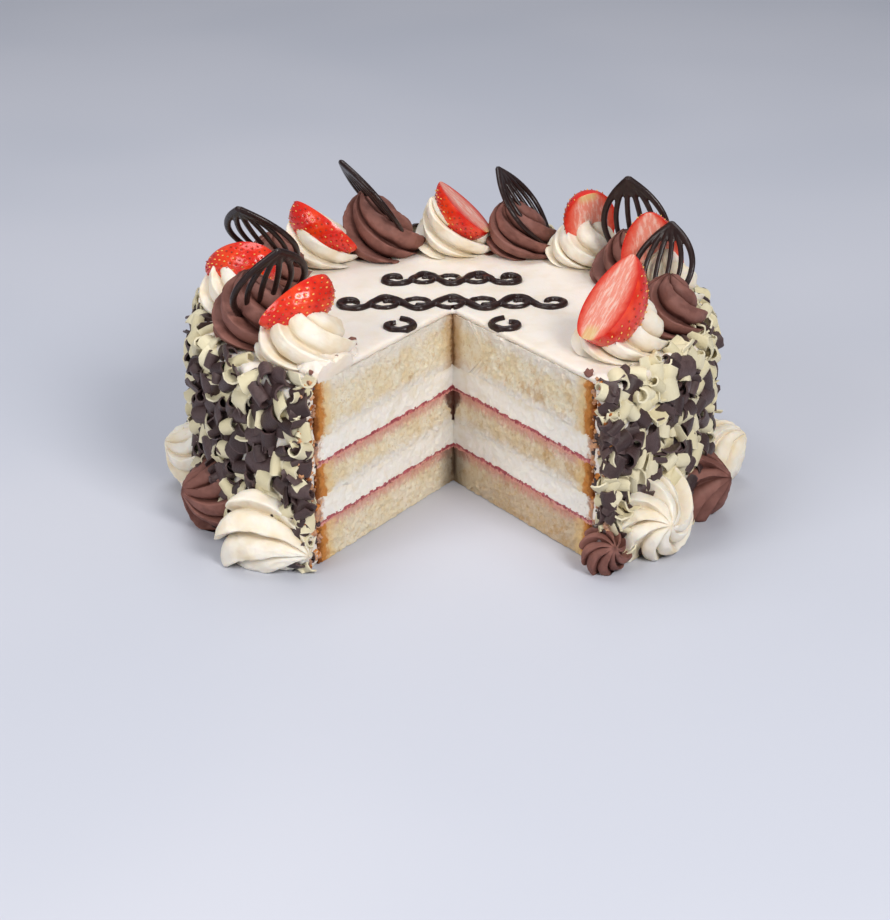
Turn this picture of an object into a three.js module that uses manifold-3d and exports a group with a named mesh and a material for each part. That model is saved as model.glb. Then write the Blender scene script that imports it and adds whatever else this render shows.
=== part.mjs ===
// A round strawberry and chocolate layer cake with one slice cut out.
// Three sponges, two jam lines and two cream fillings stand inside a coat of buttercream.
// Chocolate curls cover the side. Piped rosettes, strawberry halves and chocolate lattices
// ring the top, and more rosettes are piped round the foot.
// Millimetres, +Z up. The origin is the middle of the round cake, on its base.
// Angles go round the cake from the front, -Y, and are positive towards +X.

import * as THREE from 'three';
import { mergeVertices } from 'three/addons/utils/BufferGeometryUtils.js';
import Module from 'manifold-3d';

const wasm = await Module();
wasm.setup();

// Cake
const GAP = 0.3;                    // clearance between pieces that touch
const SPONGE_RADIUS = 116;
const SPONGE_SIDES = 36;
const SPONGE_TOP = 88.7;            // upper face of the top sponge
const JAM_THICKNESS = 2.2;
const CREAM_THICKNESS = 11;
const LOWER_JAM = 18.8;             // underside of each jam line
const UPPER_JAM = 48.8;
const CAKE_HEIGHT = 92;             // upper face of the icing

// Slice: two straight knife cuts from the apex out to a circle of CUT_RADIUS
const APEX = new THREE.Vector2(0.2, -2.4);
const CUT_RADIUS = 115;
const CUT_LEFT = -33;
const CUT_RIGHT = 33.5;

// Buttercream coat on the side
const COAT_RADIUS = 124.5;
const COAT_SIDES = 50;
const COAT_PROFILE = [[0, 0], [18, 0.6], [36, 0.2], [54, 0.6], [72, 0], [88, -1.6]];
const COAT_SHOULDER = 4.6;          // how far the flat top stops short of the side
const COAT_BUMP = 1.7;

// Chocolate curls on the side. Their places are spread evenly by the two EVEN numbers.
const CURL_COUNT = 96;
const CURL_LENGTH = 10;
const CURL_RADIUS = 3.7;
const CURL_WALL = 1.3;
const CURL_LOW = 5;
const CURL_HIGH = 84;
const CURL_LIFT = [0.8, 2.2];       // how far a curl's middle stands off the coat
const CURL_TIP = [-0.2, 0.55];      // how far its roll points out of the coat
const CURL_SIZE = [0.85, 1.15];
const ROLLED = 0.4;                 // share of the curls that are rolled to an open tube
const ROLLED_TURN = 290;            // degrees of roll of a tube, and of one that is only bent
const BENT_TURN = 180;
const CURL_FACET = 75;              // degrees of roll to one facet
const CURL_TIGHTENS = 0.3;          // share of its radius that a curl loses along the roll
const EVEN_ROUND = 0.7548777;
const EVEN_UP = 0.5698403;

// Rosettes
const FOLDS = 6;                    // folds that the star nozzle leaves
const FOLD_SECTION = [[0, 0.7], [0.8, 1.03]];  // crease and lip: share of the turn, reach
const ROSETTE_RADIUS = 21.5;
const ROSETTE_HEIGHT = 29;
const ROSETTE_PROFILE = [[0, 0.93], [0.14, 1.03], [0.45, 0.83], [0.78, 0.47]];
const TWIST_RISE = 0.65;            // power of the height by which the folds wind up

// Rosettes on top, from the left of the slice round the back to its right, cream and
// chocolate by turns: angle, distance from the middle, size, share of the height, turn, the
// way and how far the peak leans, and the twist of the folds in degrees
const TOP_RING = [
  [-48, 94, 1.1, 0.9, 20, -100, 0.1, 150], [-68, 97, 1.12, 1.05, 75, -60, 0.2, 190],
  [-91, 103, 1, 1, 10, -120, 0.16, 170], [-113, 99, 0.96, 1, 40, 90, 0.16, 190],
  [-137, 100, 1, 0.95, 0, -90, 0.2, 180], [-157, 92, 1.04, 1.08, 35, -110, 0.3, 170],
  [178, 89, 1.02, 0.98, 50, -90, 0.4, 180], [157, 92, 0.98, 1.02, 15, -90, 0.2, 200],
  [136, 97, 0.98, 1, 30, 40, 0.16, 170], [112, 97, 0.98, 1, 5, -60, 0.16, 190],
  [92, 100, 1, 1, 25, 60, 0.16, 180], [73, 105, 1, 1, 45, 30, 0.16, 190],
  [54, 98, 1.06, 0.9, 10, 90, 0.2, 160],
];

// Rosettes round the foot, in the same order: angle, distance from the middle and height of
// the foot's centre, size, share of the height, the way and how far the rosette tips over,
// turn and twist. The knife went through the last one, so only a small lump of it is left.
const FOOT_RING = [
  [-49, 122, 16, 1.2, 1.15, 40, 98, 20, 60], [-66, 118, 14, 1.06, 0.8, -68, 75, 30, 60],
  [-88, 119, 14, 1, 0.9, -95, 70, 10, 90], [-112, 118, 12, 0.98, 1, -108, 60, 50, 120],
  [-135, 118, 12, 1, 0.95, -140, 62, 0, 120], [-157, 118, 12, 1.02, 1, -150, 60, 35, 120],
  [180, 118, 12, 0.98, 0.95, 176, 60, 15, 120], [158, 118, 12, 0.98, 1, 160, 63, 55, 120],
  [136, 118, 12, 1.03, 0.95, 130, 60, 25, 120], [112, 118, 12, 1, 1, 116, 60, 45, 120],
  [88, 121, 13, 1, 0.95, 92, 65, 5, 110], [70, 119, 14, 1.06, 0.8, 66, 72, 30, 60],
  [48, 119, 16, 1.2, 0.8, 25, 78, 0, 110], [34, 123, 8, 0.58, 0.9, 20, 60, 40, 60],
];

// Strawberry halves. For each cream rosette on top: where the middle of the half lies,
// where its tip points and where its cut face looks, all as [outwards, clockwise, up]
// from the middle of the rosette's foot, then its size and how deep it is
const BERRY_LENGTH = 41;
const BERRY_WIDTH = 29;
const BERRY_DEPTH = 14.5;
// Share of the length from the middle, and of the width and depth there
const BERRY_STATIONS = [[-0.47, 0.45], [-0.3, 0.86], [-0.08, 1], [0.16, 0.88], [0.36, 0.55]];
const BERRY_ENDS = [[-0.5, 0.08], [0.5, 0.08]];  // stalk and tip: share of length, of depth
const BERRY_FACETS = 6;             // round the skin
const BERRIES = [
  { at: [0, 5, 24], tip: [0.97, 0.07, -0.25], face: [0.07, 0.86, 0.5], size: 1, deep: 1 },
  { at: [-1, 3, 20], tip: [0.94, 0.29, -0.2], face: [-0.23, 0.94, 0.26], size: 0.96, deep: 1 },
  { at: [-4, 2, 18], tip: [-0.84, 0.3, -0.44], face: [-0.04, 0.78, 0.62], size: 1, deep: 1 },
  { at: [-5, 4, 24], tip: [0.35, -0.7, 0.63], face: [-0.03, 0.62, 0.78], size: 0.9, deep: 1.15 },
  { at: [-4, 9, 20], tip: [0.3, -0.1, -0.95], face: [-0.5, 0.85, -0.05], size: 0.98, deep: 1 },
  { at: [-3, 0.5, 25], tip: [-0.11, 0.16, 0.98], face: [-0.17, 0.97, -0.17], size: 1.1, deep: 1 },
  { at: [-1, 11, 28], tip: [0.12, -0.66, 0.74], face: [-0.36, 0.7, 0.62], size: 1.12, deep: 1.3 },
];

// Chocolate lattices: a leaf outline with ribs that fan from the tip. For each chocolate
// rosette on top: where the foot of the leaf is, where its tip points and where its flat
// side looks, as for the strawberries
const LEAF_LENGTH = 54;
const LEAF_WIDTH = 34.4;
const LEAF_THICKNESS = 2.2;
const LEAF_RIBS = 6;
const RIB_WIDTH = 2.6;
const LEAF_STEPS = 6;               // facets of one side of the outline
const LEAF_WIDEST = 1.15;           // the leaf is widest the higher up, the larger this is
const LEAF_FULL = 0.85;             // and the fuller in outline, the smaller this is
const BAY_FOOT = 0.16;              // share of the leaf's length where its bays start
const BAY_TIP = 0.86;               // and where they close below the tip
const BAY_WIDEST = [0.4, 0.66];     // and between which they are widest
const LATTICES = [
  { at: [1, 2, 3], tip: [0, -0.57, 0.82], face: [0.18, 0.81, 0.56], size: 1.08 },
  { at: [-6, 9, 3], tip: [0.12, -0.65, 0.75], face: [-0.06, 0.75, 0.66], size: 1.06 },
  { at: [-8, 13, 3], tip: [0.24, -0.56, 0.79], face: [0.05, 0.79, 0.6], size: 1.06 },
  { at: [0, 19, 1], tip: [0.02, -0.61, 0.78], face: [0.06, 0.77, 0.63], size: 0.96 },
  { at: [7, 1, -2], tip: [-0.16, -0.06, 0.99], face: [-0.77, 0.62, -0.1], size: 1.02 },
  { at: [-5.5, 2, 1], tip: [0.04, -0.6, 0.8], face: [-0.36, 0.74, 0.57], size: 0.95 },
];

// Piped scrolls on the icing. Each row is a vine that ends in a volute on both sides and has a
// tendril in each arch. The knife went through the last row, which keeps only two volutes.
const PIPE_WIDTH = 3.8;
const PIPE_HEIGHT = 2;
const PIPE_SINK = 0.4;
const PIPE_END = 0.6;               // share of its size to which a stroke thins at its ends
const ARCH_STEPS = 4;               // facets along an arch, and along a curl of a volute
const VOLUTE_STEPS = 7;
const VOLUTE_TURNS = 0.95;
const VOLUTE_CLOSES = 0.64;         // share of its radius that a volute loses as it curls in
const TENDRIL_TURNS = 0.85;
const TENDRIL_SIZE = 0.72;          // share of the size of a stroke
const SCROLL_ROWS = [               // how far each vine reaches to both sides
  { reach: 20, y: 38, height: 8, arches: 3, radius: 8.5 },
  { reach: 40, y: 3, height: 8.5, arches: 5, radius: 9 },
];
const LAST_VOLUTES = { x: 26.5, y: -28, radius: 9.5, start: 100 };

const COLOURS = {
  sponge: new THREE.MeshStandardMaterial({ color: 0xe6d6b4, roughness: 0.9, metalness: 0 }),
  jam: new THREE.MeshStandardMaterial({ color: 0xa83c4a, roughness: 0.35, metalness: 0 }),
  cream: new THREE.MeshStandardMaterial({ color: 0xf3ecdc, roughness: 0.6, metalness: 0 }),
  chocolate: new THREE.MeshStandardMaterial({ color: 0x6a4a43, roughness: 0.6, metalness: 0 }),
  dark: new THREE.MeshStandardMaterial({ color: 0x2a1a18, roughness: 0.4, metalness: 0 }),
  berry: new THREE.MeshStandardMaterial({ color: 0xd2331f, roughness: 0.3, metalness: 0 }),
};

// ---- helpers ----

const rad = THREE.MathUtils.degToRad;
const outward = (angle) => new THREE.Vector3(Math.sin(rad(angle)), -Math.cos(rad(angle)), 0);
const clockwise = (angle) => new THREE.Vector3(-Math.cos(rad(angle)), -Math.sin(rad(angle)), 0);

// A seeded draw between 0 and 1 (mulberry32), so every build gives the same cake.
function seeded(seed) {
  let state = seed >>> 0;
  return () => {
    state = (state + 0x6d2b79f5) >>> 0;
    let t = Math.imul(state ^ (state >>> 15), 1 | state);
    t = (t + Math.imul(t ^ (t >>> 7), 61 | t)) ^ t;
    return ((t ^ (t >>> 14)) >>> 0) / 4294967296;
  };
}

function solidOf(geometry) {
  const bare = geometry.clone();
  bare.deleteAttribute('normal');
  bare.deleteAttribute('uv');
  const merged = mergeVertices(bare, 1e-4);
  return new wasm.Manifold(new wasm.Mesh({
    numProp: 3,
    vertProperties: new Float32Array(merged.attributes.position.array),
    triVerts: new Uint32Array(merged.index.array),
  }));
}

function geometryOf(solid) {
  const mesh = solid.getMesh();
  const geometry = new THREE.BufferGeometry();
  geometry.setAttribute('position', new THREE.BufferAttribute(mesh.vertProperties, 3));
  geometry.setIndex(new THREE.BufferAttribute(mesh.triVerts, 1));
  geometry.computeVertexNormals();
  return geometry;
}

// The largest piece of a solid, without the scraps that a cut can leave.
function largestPiece(solid) {
  const pieces = solid.decompose();
  return pieces.reduce((best, piece) => (piece.volume() > best.volume() ? piece : best));
}

// A closed surface from rings of points: each ring joins the next, and the ends are fans.
function ringSurface(rings, firstPole, lastPole) {
  const sides = rings[0].length;
  const points = [...rings.flat(), firstPole, lastPole];
  const first = points.length - 2;
  const last = points.length - 1;
  const top = (rings.length - 1) * sides;
  const faces = [];
  for (let j = 0; j < sides; j += 1) {
    const k = (j + 1) % sides;
    faces.push(first, k, j, last, top + j, top + k);
    for (let i = 0; i < rings.length - 1; i += 1) {
      const low = i * sides;
      const high = low + sides;
      faces.push(low + j, low + k, high + k, low + j, high + k, high + j);
    }
  }
  const geometry = new THREE.BufferGeometry().setFromPoints(points);
  geometry.setIndex(faces);
  return geometry;
}

// A big block whose one face lies at a point, on the side that the normal looks to.
function halfSpace(point, normal) {
  const reach = 400;
  const block = new THREE.BoxGeometry(reach, reach, reach).toNonIndexed();
  block.translate(0, 0, reach / 2);
  block.applyQuaternion(new THREE.Quaternion().setFromUnitVectors(
    new THREE.Vector3(0, 0, 1), normal.clone().normalize()));
  block.translate(point.x, point.y, point.z);
  return solidOf(block);
}

function disc(radius, low, high) {
  const geometry = new THREE.CylinderGeometry(radius, radius, high - low, SPONGE_SIDES);
  geometry.rotateX(Math.PI / 2);
  geometry.translate(0, 0, (low + high) / 2);
  return solidOf(geometry);
}

// The place and turn of something that stands at [out, clockwise, up] from a rosette's
// foot: its own Y axis points to the tip and its own Z axis looks the way of its face.
function placeOn([angle, reach], { at, tip, face }) {
  const axes = [outward(angle), clockwise(angle), new THREE.Vector3(0, 0, 1)];
  const world = (v) => new THREE.Vector3().addScaledVector(axes[0], v[0])
    .addScaledVector(axes[1], v[1]).addScaledVector(axes[2], v[2]);
  const along = world(tip).normalize();
  const side = new THREE.Vector3().crossVectors(along, world(face)).normalize();
  const normal = new THREE.Vector3().crossVectors(side, along);
  const place = world(at).addScaledVector(axes[0], reach);
  place.z += CAKE_HEIGHT + GAP;
  return new THREE.Matrix4().makeBasis(side, along, normal).setPosition(place);
}

// ---- the knife ----

function slice() {
  const far = 3;
  const left = outward(CUT_LEFT).multiplyScalar(CUT_RADIUS);
  const right = outward(CUT_RIGHT).multiplyScalar(CUT_RADIUS);
  const beyond = (p) => new THREE.Vector2(p.x, p.y).sub(APEX).multiplyScalar(far).add(APEX);
  const wedge = new THREE.ExtrudeGeometry(
    new THREE.Shape([APEX, beyond(left), beyond(right)]),
    { depth: CAKE_HEIGHT * 2, bevelEnabled: false });
  wedge.translate(0, 0, -CAKE_HEIGHT / 2);
  return solidOf(wedge);
}

const SLICE = slice();

// ---- layers ----

function layer(low, high) {
  return disc(SPONGE_RADIUS, low, high).subtract(SLICE);
}

function layers() {
  const lowerCream = LOWER_JAM + JAM_THICKNESS + GAP;
  const upperCream = UPPER_JAM + JAM_THICKNESS + GAP;
  const middle = lowerCream + CREAM_THICKNESS + GAP;
  const top = upperCream + CREAM_THICKNESS + GAP;
  return [
    ['sponge_bottom', COLOURS.sponge, layer(0, LOWER_JAM - GAP)],
    ['jam_lower', COLOURS.jam, layer(LOWER_JAM, LOWER_JAM + JAM_THICKNESS)],
    ['cream_lower', COLOURS.cream, layer(lowerCream, lowerCream + CREAM_THICKNESS)],
    ['sponge_middle', COLOURS.sponge, layer(middle, UPPER_JAM - GAP)],
    ['jam_upper', COLOURS.jam, layer(UPPER_JAM, UPPER_JAM + JAM_THICKNESS)],
    ['cream_upper', COLOURS.cream, layer(upperCream, upperCream + CREAM_THICKNESS)],
    ['sponge_top', COLOURS.sponge, layer(top, SPONGE_TOP)],
  ];
}

// ---- icing with its curls and scrolls ----

// Radius of the coat: waves of three lengths stand for the clumps pressed into it.
function coatRadius(angle, z) {
  const wave = Math.sin(rad(7 * angle) + z / 9) + Math.sin(rad(13 * angle) - z / 6)
    + Math.sin(rad(23 * angle) + z / 4);
  return COAT_RADIUS + COAT_BUMP * wave / 2;
}

function coat(grow) {
  const round = [...Array(COAT_SIDES).keys()].map((j) => (j * 360) / COAT_SIDES);
  const rings = COAT_PROFILE.map(([z, bulge]) => round.map((angle) => {
    const point = outward(angle).multiplyScalar(coatRadius(angle, z) + bulge + grow);
    return point.setZ(z === 0 ? -grow : z);
  }));
  const rim = COAT_RADIUS - COAT_SHOULDER + grow;
  rings.push(round.map((angle) => outward(angle).multiplyScalar(rim).setZ(CAKE_HEIGHT + grow)));
  return solidOf(ringSurface(rings, new THREE.Vector3(0, 0, -grow),
    new THREE.Vector3(0, 0, CAKE_HEIGHT + grow)));
}

// A shaving of chocolate, rolled to an open tube or only bent, its roll along local Z.
function curlGeometry(turn, size) {
  const steps = Math.round(turn / CURL_FACET);
  const outside = [];
  const inside = [];
  for (let i = 0; i <= steps; i += 1) {
    const roll = rad((turn * i) / steps);
    const radius = CURL_RADIUS * size * (1 - (CURL_TIGHTENS * i) / steps);
    outside.push(new THREE.Vector2(Math.cos(roll), Math.sin(roll)).multiplyScalar(radius));
    inside.unshift(new THREE.Vector2(Math.cos(roll), Math.sin(roll))
      .multiplyScalar(radius - CURL_WALL));
  }
  const length = CURL_LENGTH * size;
  const geometry = new THREE.ExtrudeGeometry(new THREE.Shape([...outside, ...inside]),
    { depth: length, bevelEnabled: false });
  geometry.translate(0, 0, -length / 2);
  return geometry;
}

// Curls spread evenly over the side by a low-discrepancy rule, each turned by a seeded draw.
function curls(obstacles) {
  const draw = seeded(41);
  const between = (low, high) => low + (high - low) * draw();
  const span = 360 - CUT_RIGHT + CUT_LEFT;
  const kept = [];
  for (let k = 0; k < CURL_COUNT; k += 1) {
    const angle = CUT_RIGHT + span * ((0.5 + k * EVEN_ROUND) % 1);
    const z = CURL_LOW + (CURL_HIGH - CURL_LOW) * ((0.5 + k * EVEN_UP) % 1);
    const geometry = curlGeometry(draw() < ROLLED ? ROLLED_TURN : BENT_TURN,
      between(...CURL_SIZE));
    geometry.rotateZ(between(0, Math.PI * 2));
    const lean = new THREE.Vector3(between(-1, 1), between(-1, 1), between(...CURL_TIP));
    geometry.applyQuaternion(new THREE.Quaternion().setFromUnitVectors(
      new THREE.Vector3(0, 0, 1), lean.normalize()));
    const out = outward(angle);
    const frame = new THREE.Matrix4().makeBasis(
      clockwise(angle).negate(), new THREE.Vector3(0, 0, 1), out);
    frame.setPosition(out.multiplyScalar(coatRadius(angle, z) + between(...CURL_LIFT)).setZ(z));
    const curl = solidOf(geometry.applyMatrix4(frame));
    if (curl.intersect(obstacles).isEmpty()) kept.push(curl);
  }
  return kept;
}

// One piped stroke: a low bead through points on the icing, its size a share of the full one.
function stroke(points, share = 1) {
  const half = (share * PIPE_WIDTH) / 2;
  const height = share * PIPE_HEIGHT;
  const bead = [[-PIPE_SINK, half], [height, half / 2], [height, -half / 2],
    [-PIPE_SINK, -half]];
  const last = points.length - 1;
  const rings = points.map((point, i) => {
    const along = points[Math.min(i + 1, last)].clone().sub(points[Math.max(i - 1, 0)])
      .normalize();
    const end = i === 0 || i === last ? PIPE_END : 1;
    return bead.map(([up, side]) => new THREE.Vector3(
      point.x - along.y * side * end, point.y + along.x * side * end,
      CAKE_HEIGHT + (up > 0 ? up * end : up)));
  });
  const middle = (ring) => ring.reduce((sum, p) => sum.add(p), new THREE.Vector3())
    .divideScalar(ring.length);
  return solidOf(ringSurface(rings, middle(rings[0]), middle(rings[last])));
}

// A line that starts on a circle and curls in.
function volute(x, y, radius, start, turns) {
  return [...Array(VOLUTE_STEPS + 1).keys()].map((i) => {
    const angle = rad(start + (360 * turns * i) / VOLUTE_STEPS);
    const reach = radius * (1 - (VOLUTE_CLOSES * i) / VOLUTE_STEPS);
    return new THREE.Vector3(x + reach * Math.cos(angle), y + reach * Math.sin(angle), 0);
  });
}

const mirrored = (points) => points.map((p) => new THREE.Vector3(-p.x, p.y, p.z));

// A wavy vine that ends in a volute on both sides. At the foot of each arch a tendril
// leaves it and curls up inside.
function scrollRow({ reach, y, height, arches, radius }) {
  const steps = arches * ARCH_STEPS;
  const vine = [...Array(steps + 1).keys()].map((i) => new THREE.Vector3(
    reach * ((2 * i) / steps - 1), y + height * Math.sin((Math.PI * i) / ARCH_STEPS), 0));
  const end = volute(reach + radius, y, radius, 180, VOLUTE_TURNS).slice(1);
  const half = reach / arches;
  const tendrils = [...Array(arches).keys()].map((i) => volute(
    (2 * i + 1) * half - reach, y, half, 180, i % 2 ? -TENDRIL_TURNS : TENDRIL_TURNS));
  return [stroke([...mirrored(end).reverse(), ...vine, ...end]),
    ...tendrils.map((points) => stroke(points, TENDRIL_SIZE))];
}

function scrolls() {
  const { x, y, radius, start } = LAST_VOLUTES;
  const right = volute(x, y, radius, start, VOLUTE_TURNS);
  return [...SCROLL_ROWS.flatMap(scrollRow), stroke(right), stroke(mirrored(right).reverse())];
}

function icing(obstacles) {
  const solid = wasm.Manifold.union([coat(0), ...curls(obstacles), ...scrolls()]);
  const inside = disc(SPONGE_RADIUS + GAP, -CAKE_HEIGHT, SPONGE_TOP + GAP);
  return largestPiece(solid.subtract(inside).subtract(SLICE));
}

// ---- rosettes ----

// A rosette piped through a star nozzle, standing on Z = 0: the folds wind up to a peak that
// leans over. Each fold rises from its crease to a lip that hangs over the next crease.
function rosette(size, tall, turn, lean, twist) {
  const radius = ROSETTE_RADIUS * size;
  const height = ROSETTE_HEIGHT * size * tall;
  const spine = (h) => lean.clone().multiplyScalar(height * h * h).setZ(height * h);
  const rings = ROSETTE_PROFILE.map(([h, reach]) => {
    const ring = [];
    for (let fold = 0; fold < FOLDS; fold += 1) {
      for (const [share, out] of FOLD_SECTION) {
        const angle = rad(90 + turn + (360 * (fold + share)) / FOLDS - twist * h ** TWIST_RISE);
        const r = radius * reach * out;
        ring.push(spine(h).add(new THREE.Vector3(r * Math.cos(angle), r * Math.sin(angle), 0)));
      }
    }
    return ring;
  });
  return ringSurface(rings, new THREE.Vector3(0, 0, 0), spine(1));
}

// A ring of rosettes, each pressed flat where it meets the next, nearer the smaller one.
function ringOf(pieces) {
  return pieces.map(({ geometry, foot, size }, i) => {
    const solid = solidOf(geometry.translate(foot.x, foot.y, foot.z));
    const others = [pieces[i - 1], pieces[i + 1]].filter(Boolean);
    return others.reduce((rest, other) => {
      const normal = other.foot.clone().sub(foot).setZ(0).normalize();
      const seam = foot.clone().lerp(other.foot, size / (size + other.size));
      return rest.subtract(halfSpace(seam.addScaledVector(normal, -GAP / 2), normal));
    }, solid);
  });
}

function topRosettes(toppings) {
  const ring = ringOf(TOP_RING.map(([angle, reach, size, tall, turn, way, far, twist]) => ({
    geometry: rosette(size, tall, turn, outward(way).multiplyScalar(far), twist),
    foot: outward(angle).multiplyScalar(reach).setZ(CAKE_HEIGHT + GAP),
    size,
  })));
  return ring.map((solid) => largestPiece(
    toppings.reduce((rest, topping) => rest.subtract(topping), solid).subtract(SLICE)));
}

function footRosettes() {
  const skirt = coat(GAP);
  const ground = halfSpace(new THREE.Vector3(0, 0, 0), new THREE.Vector3(0, 0, -1));
  const ring = ringOf(FOOT_RING.map(
    ([angle, reach, rise, size, tall, way, tip, turn, twist]) => ({
      geometry: rosette(size, tall, turn, new THREE.Vector3(), twist)
        .rotateX(rad(tip)).rotateZ(rad(way)),
      foot: outward(angle).multiplyScalar(reach).setZ(rise),
      size,
    })));
  return ring.map((solid) => largestPiece(solid.subtract(ground).subtract(skirt)));
}

// ---- strawberry halves ----

// Half a strawberry, cut face at local Z = 0 and tip along +Y, its middle at the origin.
function berryGeometry({ size, deep }, grow) {
  const halfWidth = (BERRY_WIDTH * size) / 2 + grow;
  const depth = BERRY_DEPTH * size * deep + grow;
  const length = BERRY_LENGTH * size + 2 * grow;
  const rings = BERRY_STATIONS.map(([t, reach]) => {
    const ring = [];
    for (let j = 0; j <= BERRY_FACETS; j += 1) {
      const angle = (Math.PI * j) / BERRY_FACETS;
      ring.push(new THREE.Vector3(reach * halfWidth * Math.cos(angle), t * length,
        grow - reach * (depth + grow) * Math.sin(angle)));
    }
    return ring;
  });
  const poles = BERRY_ENDS.map(([t, share]) => new THREE.Vector3(0, t * length,
    grow - share * depth));
  return ringSurface(rings, ...poles);
}

function berries(grow) {
  return BERRIES.map((berry, i) => solidOf(
    berryGeometry(berry, grow).applyMatrix4(placeOn(TOP_RING[2 * i], berry))));
}

// ---- chocolate lattices ----

// Half the width of the leaf at a share t of its length from the foot.
function leafReach(t) {
  return (LEAF_WIDTH / 2) * Math.sin(Math.PI * t ** LEAF_WIDEST) ** LEAF_FULL;
}

// The leaf stands on local Y = 0 with its tip at Y = LEAF_LENGTH, its face along local Z.
// Its ribs meet where the bays between them close, above the foot and below the tip.
function leafGeometry(size, grow, open) {
  const edge = (share, inset, t) => new THREE.Vector2(
    share * leafReach(t) + inset, t * LEAF_LENGTH);
  const right = [...Array(LEAF_STEPS + 1).keys()].map((i) => edge(1, 0, i / LEAF_STEPS));
  const left = right.slice(1, -1).reverse().map((p) => new THREE.Vector2(-p.x, p.y));
  const outline = new THREE.Shape([...right, ...left]);
  const bays = open ? LEAF_RIBS - 1 : 0;
  for (let bay = 0; bay < bays; bay += 1) {
    const low = -1 + (2 * bay) / bays;
    const high = low + 2 / bays;
    const insets = [bay === 0 ? RIB_WIDTH : RIB_WIDTH / 2,
      bay === bays - 1 ? -RIB_WIDTH : -RIB_WIDTH / 2];
    const middle = (low + high) / 2;
    outline.holes.push(new THREE.Path([
      edge(middle, 0, BAY_FOOT), ...BAY_WIDEST.map((t) => edge(high, insets[1], t)),
      edge(middle, 0, BAY_TIP), ...BAY_WIDEST.map((t) => edge(low, insets[0], t)).reverse(),
    ]));
  }
  const thickness = LEAF_THICKNESS + 2 * grow;
  const geometry = new THREE.ExtrudeGeometry(outline, { depth: thickness, bevelEnabled: false });
  const spread = size * (1 + (2 * grow) / LEAF_WIDTH);
  geometry.translate(0, -LEAF_LENGTH / 2, -thickness / 2);
  geometry.scale(spread, size * (1 + (2 * grow) / LEAF_LENGTH), 1);
  geometry.translate(0, (size * LEAF_LENGTH) / 2, 0);
  return geometry;
}

// Each leaf is pushed down to the icing. Grown and without its bays, it is the slot that
// it leaves in its rosette.
function lattices(grow, open) {
  const icingTop = new THREE.Vector3(0, 0, CAKE_HEIGHT + GAP);
  const below = halfSpace(icingTop, new THREE.Vector3(0, 0, -1));
  return LATTICES.map((leaf, i) => solidOf(leafGeometry(leaf.size, grow, open)
    .applyMatrix4(placeOn(TOP_RING[2 * i + 1], leaf))).subtract(below));
}

// ---- the whole cake ----

const cake = new THREE.Group();

function addPiece(name, material, solid) {
  const mesh = new THREE.Mesh(geometryOf(solid), material);
  mesh.name = name;
  cake.add(mesh);
}

const halves = berries(0);
const leaves = lattices(0, true);
const pockets = [...berries(GAP), ...lattices(GAP, false)];
const top = topRosettes(pockets);
const foot = footRosettes();
const count = (i) => Math.floor(i / 2) + 1;
const flavour = (i) => (i % 2 ? 'chocolate' : 'cream');

for (const [name, material, solid] of layers()) addPiece(name, material, solid);
addPiece('icing', COLOURS.cream, icing(wasm.Manifold.union([...top, ...foot])));
top.forEach((solid, i) => addPiece(
  `${flavour(i)}_rosette_${count(i)}`, COLOURS[flavour(i)], solid));
foot.forEach((solid, i) => addPiece(
  `foot_${flavour(i)}_rosette_${count(i)}`, COLOURS[flavour(i)], solid));
halves.forEach((solid, i) => addPiece(`strawberry_half_${i + 1}`, COLOURS.berry, solid));
leaves.forEach((solid, i) => addPiece(`chocolate_lattice_${i + 1}`, COLOURS.dark, solid));

export default cake;
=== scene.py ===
"""A strawberry and chocolate layer cake with one slice cut out, modelled around its solids.

Lengths are in metres. The origin is the middle of the cake, on its base, with +Z up. Angles go
round the cake from the front, -Y, in degrees, and are positive towards +X.
"""

import math
import random

import bmesh
import bpy
from mathutils import Euler, Matrix, Vector, kdtree


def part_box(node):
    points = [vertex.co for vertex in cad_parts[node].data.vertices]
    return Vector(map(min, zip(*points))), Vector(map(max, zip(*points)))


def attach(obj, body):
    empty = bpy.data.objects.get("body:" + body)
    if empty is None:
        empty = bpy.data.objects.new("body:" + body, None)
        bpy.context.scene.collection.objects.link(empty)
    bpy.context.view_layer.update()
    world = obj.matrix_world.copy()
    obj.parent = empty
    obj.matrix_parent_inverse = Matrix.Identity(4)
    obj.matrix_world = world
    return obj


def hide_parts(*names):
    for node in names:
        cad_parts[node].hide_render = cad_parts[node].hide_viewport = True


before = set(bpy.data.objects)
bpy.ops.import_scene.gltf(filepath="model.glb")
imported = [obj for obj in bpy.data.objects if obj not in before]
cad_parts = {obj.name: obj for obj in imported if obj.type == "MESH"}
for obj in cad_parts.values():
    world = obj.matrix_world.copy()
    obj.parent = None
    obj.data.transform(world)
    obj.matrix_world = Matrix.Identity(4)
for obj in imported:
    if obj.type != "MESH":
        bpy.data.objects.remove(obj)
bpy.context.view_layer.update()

MM = 0.001

# ---- sizes ----

SPONGE_RADIUS = 116 * MM
SPONGE_TOP = 88.7 * MM
CAKE_HEIGHT = 92 * MM
COAT_RADIUS = 124.5 * MM
COAT_SHOULDER = 5 * MM

# The slice: two straight cuts from the apex out to a circle of CUT_RADIUS
APEX = Vector((0.2 * MM, -2.4 * MM, 0))
CUT_RADIUS = 115 * MM
CUT_LEFT = -33
CUT_RIGHT = 33.5
PITCH = 30 * MM                     # from one jam line up to the next
CELL = 0.75 * MM                    # size of a facet on the cut faces

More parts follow.
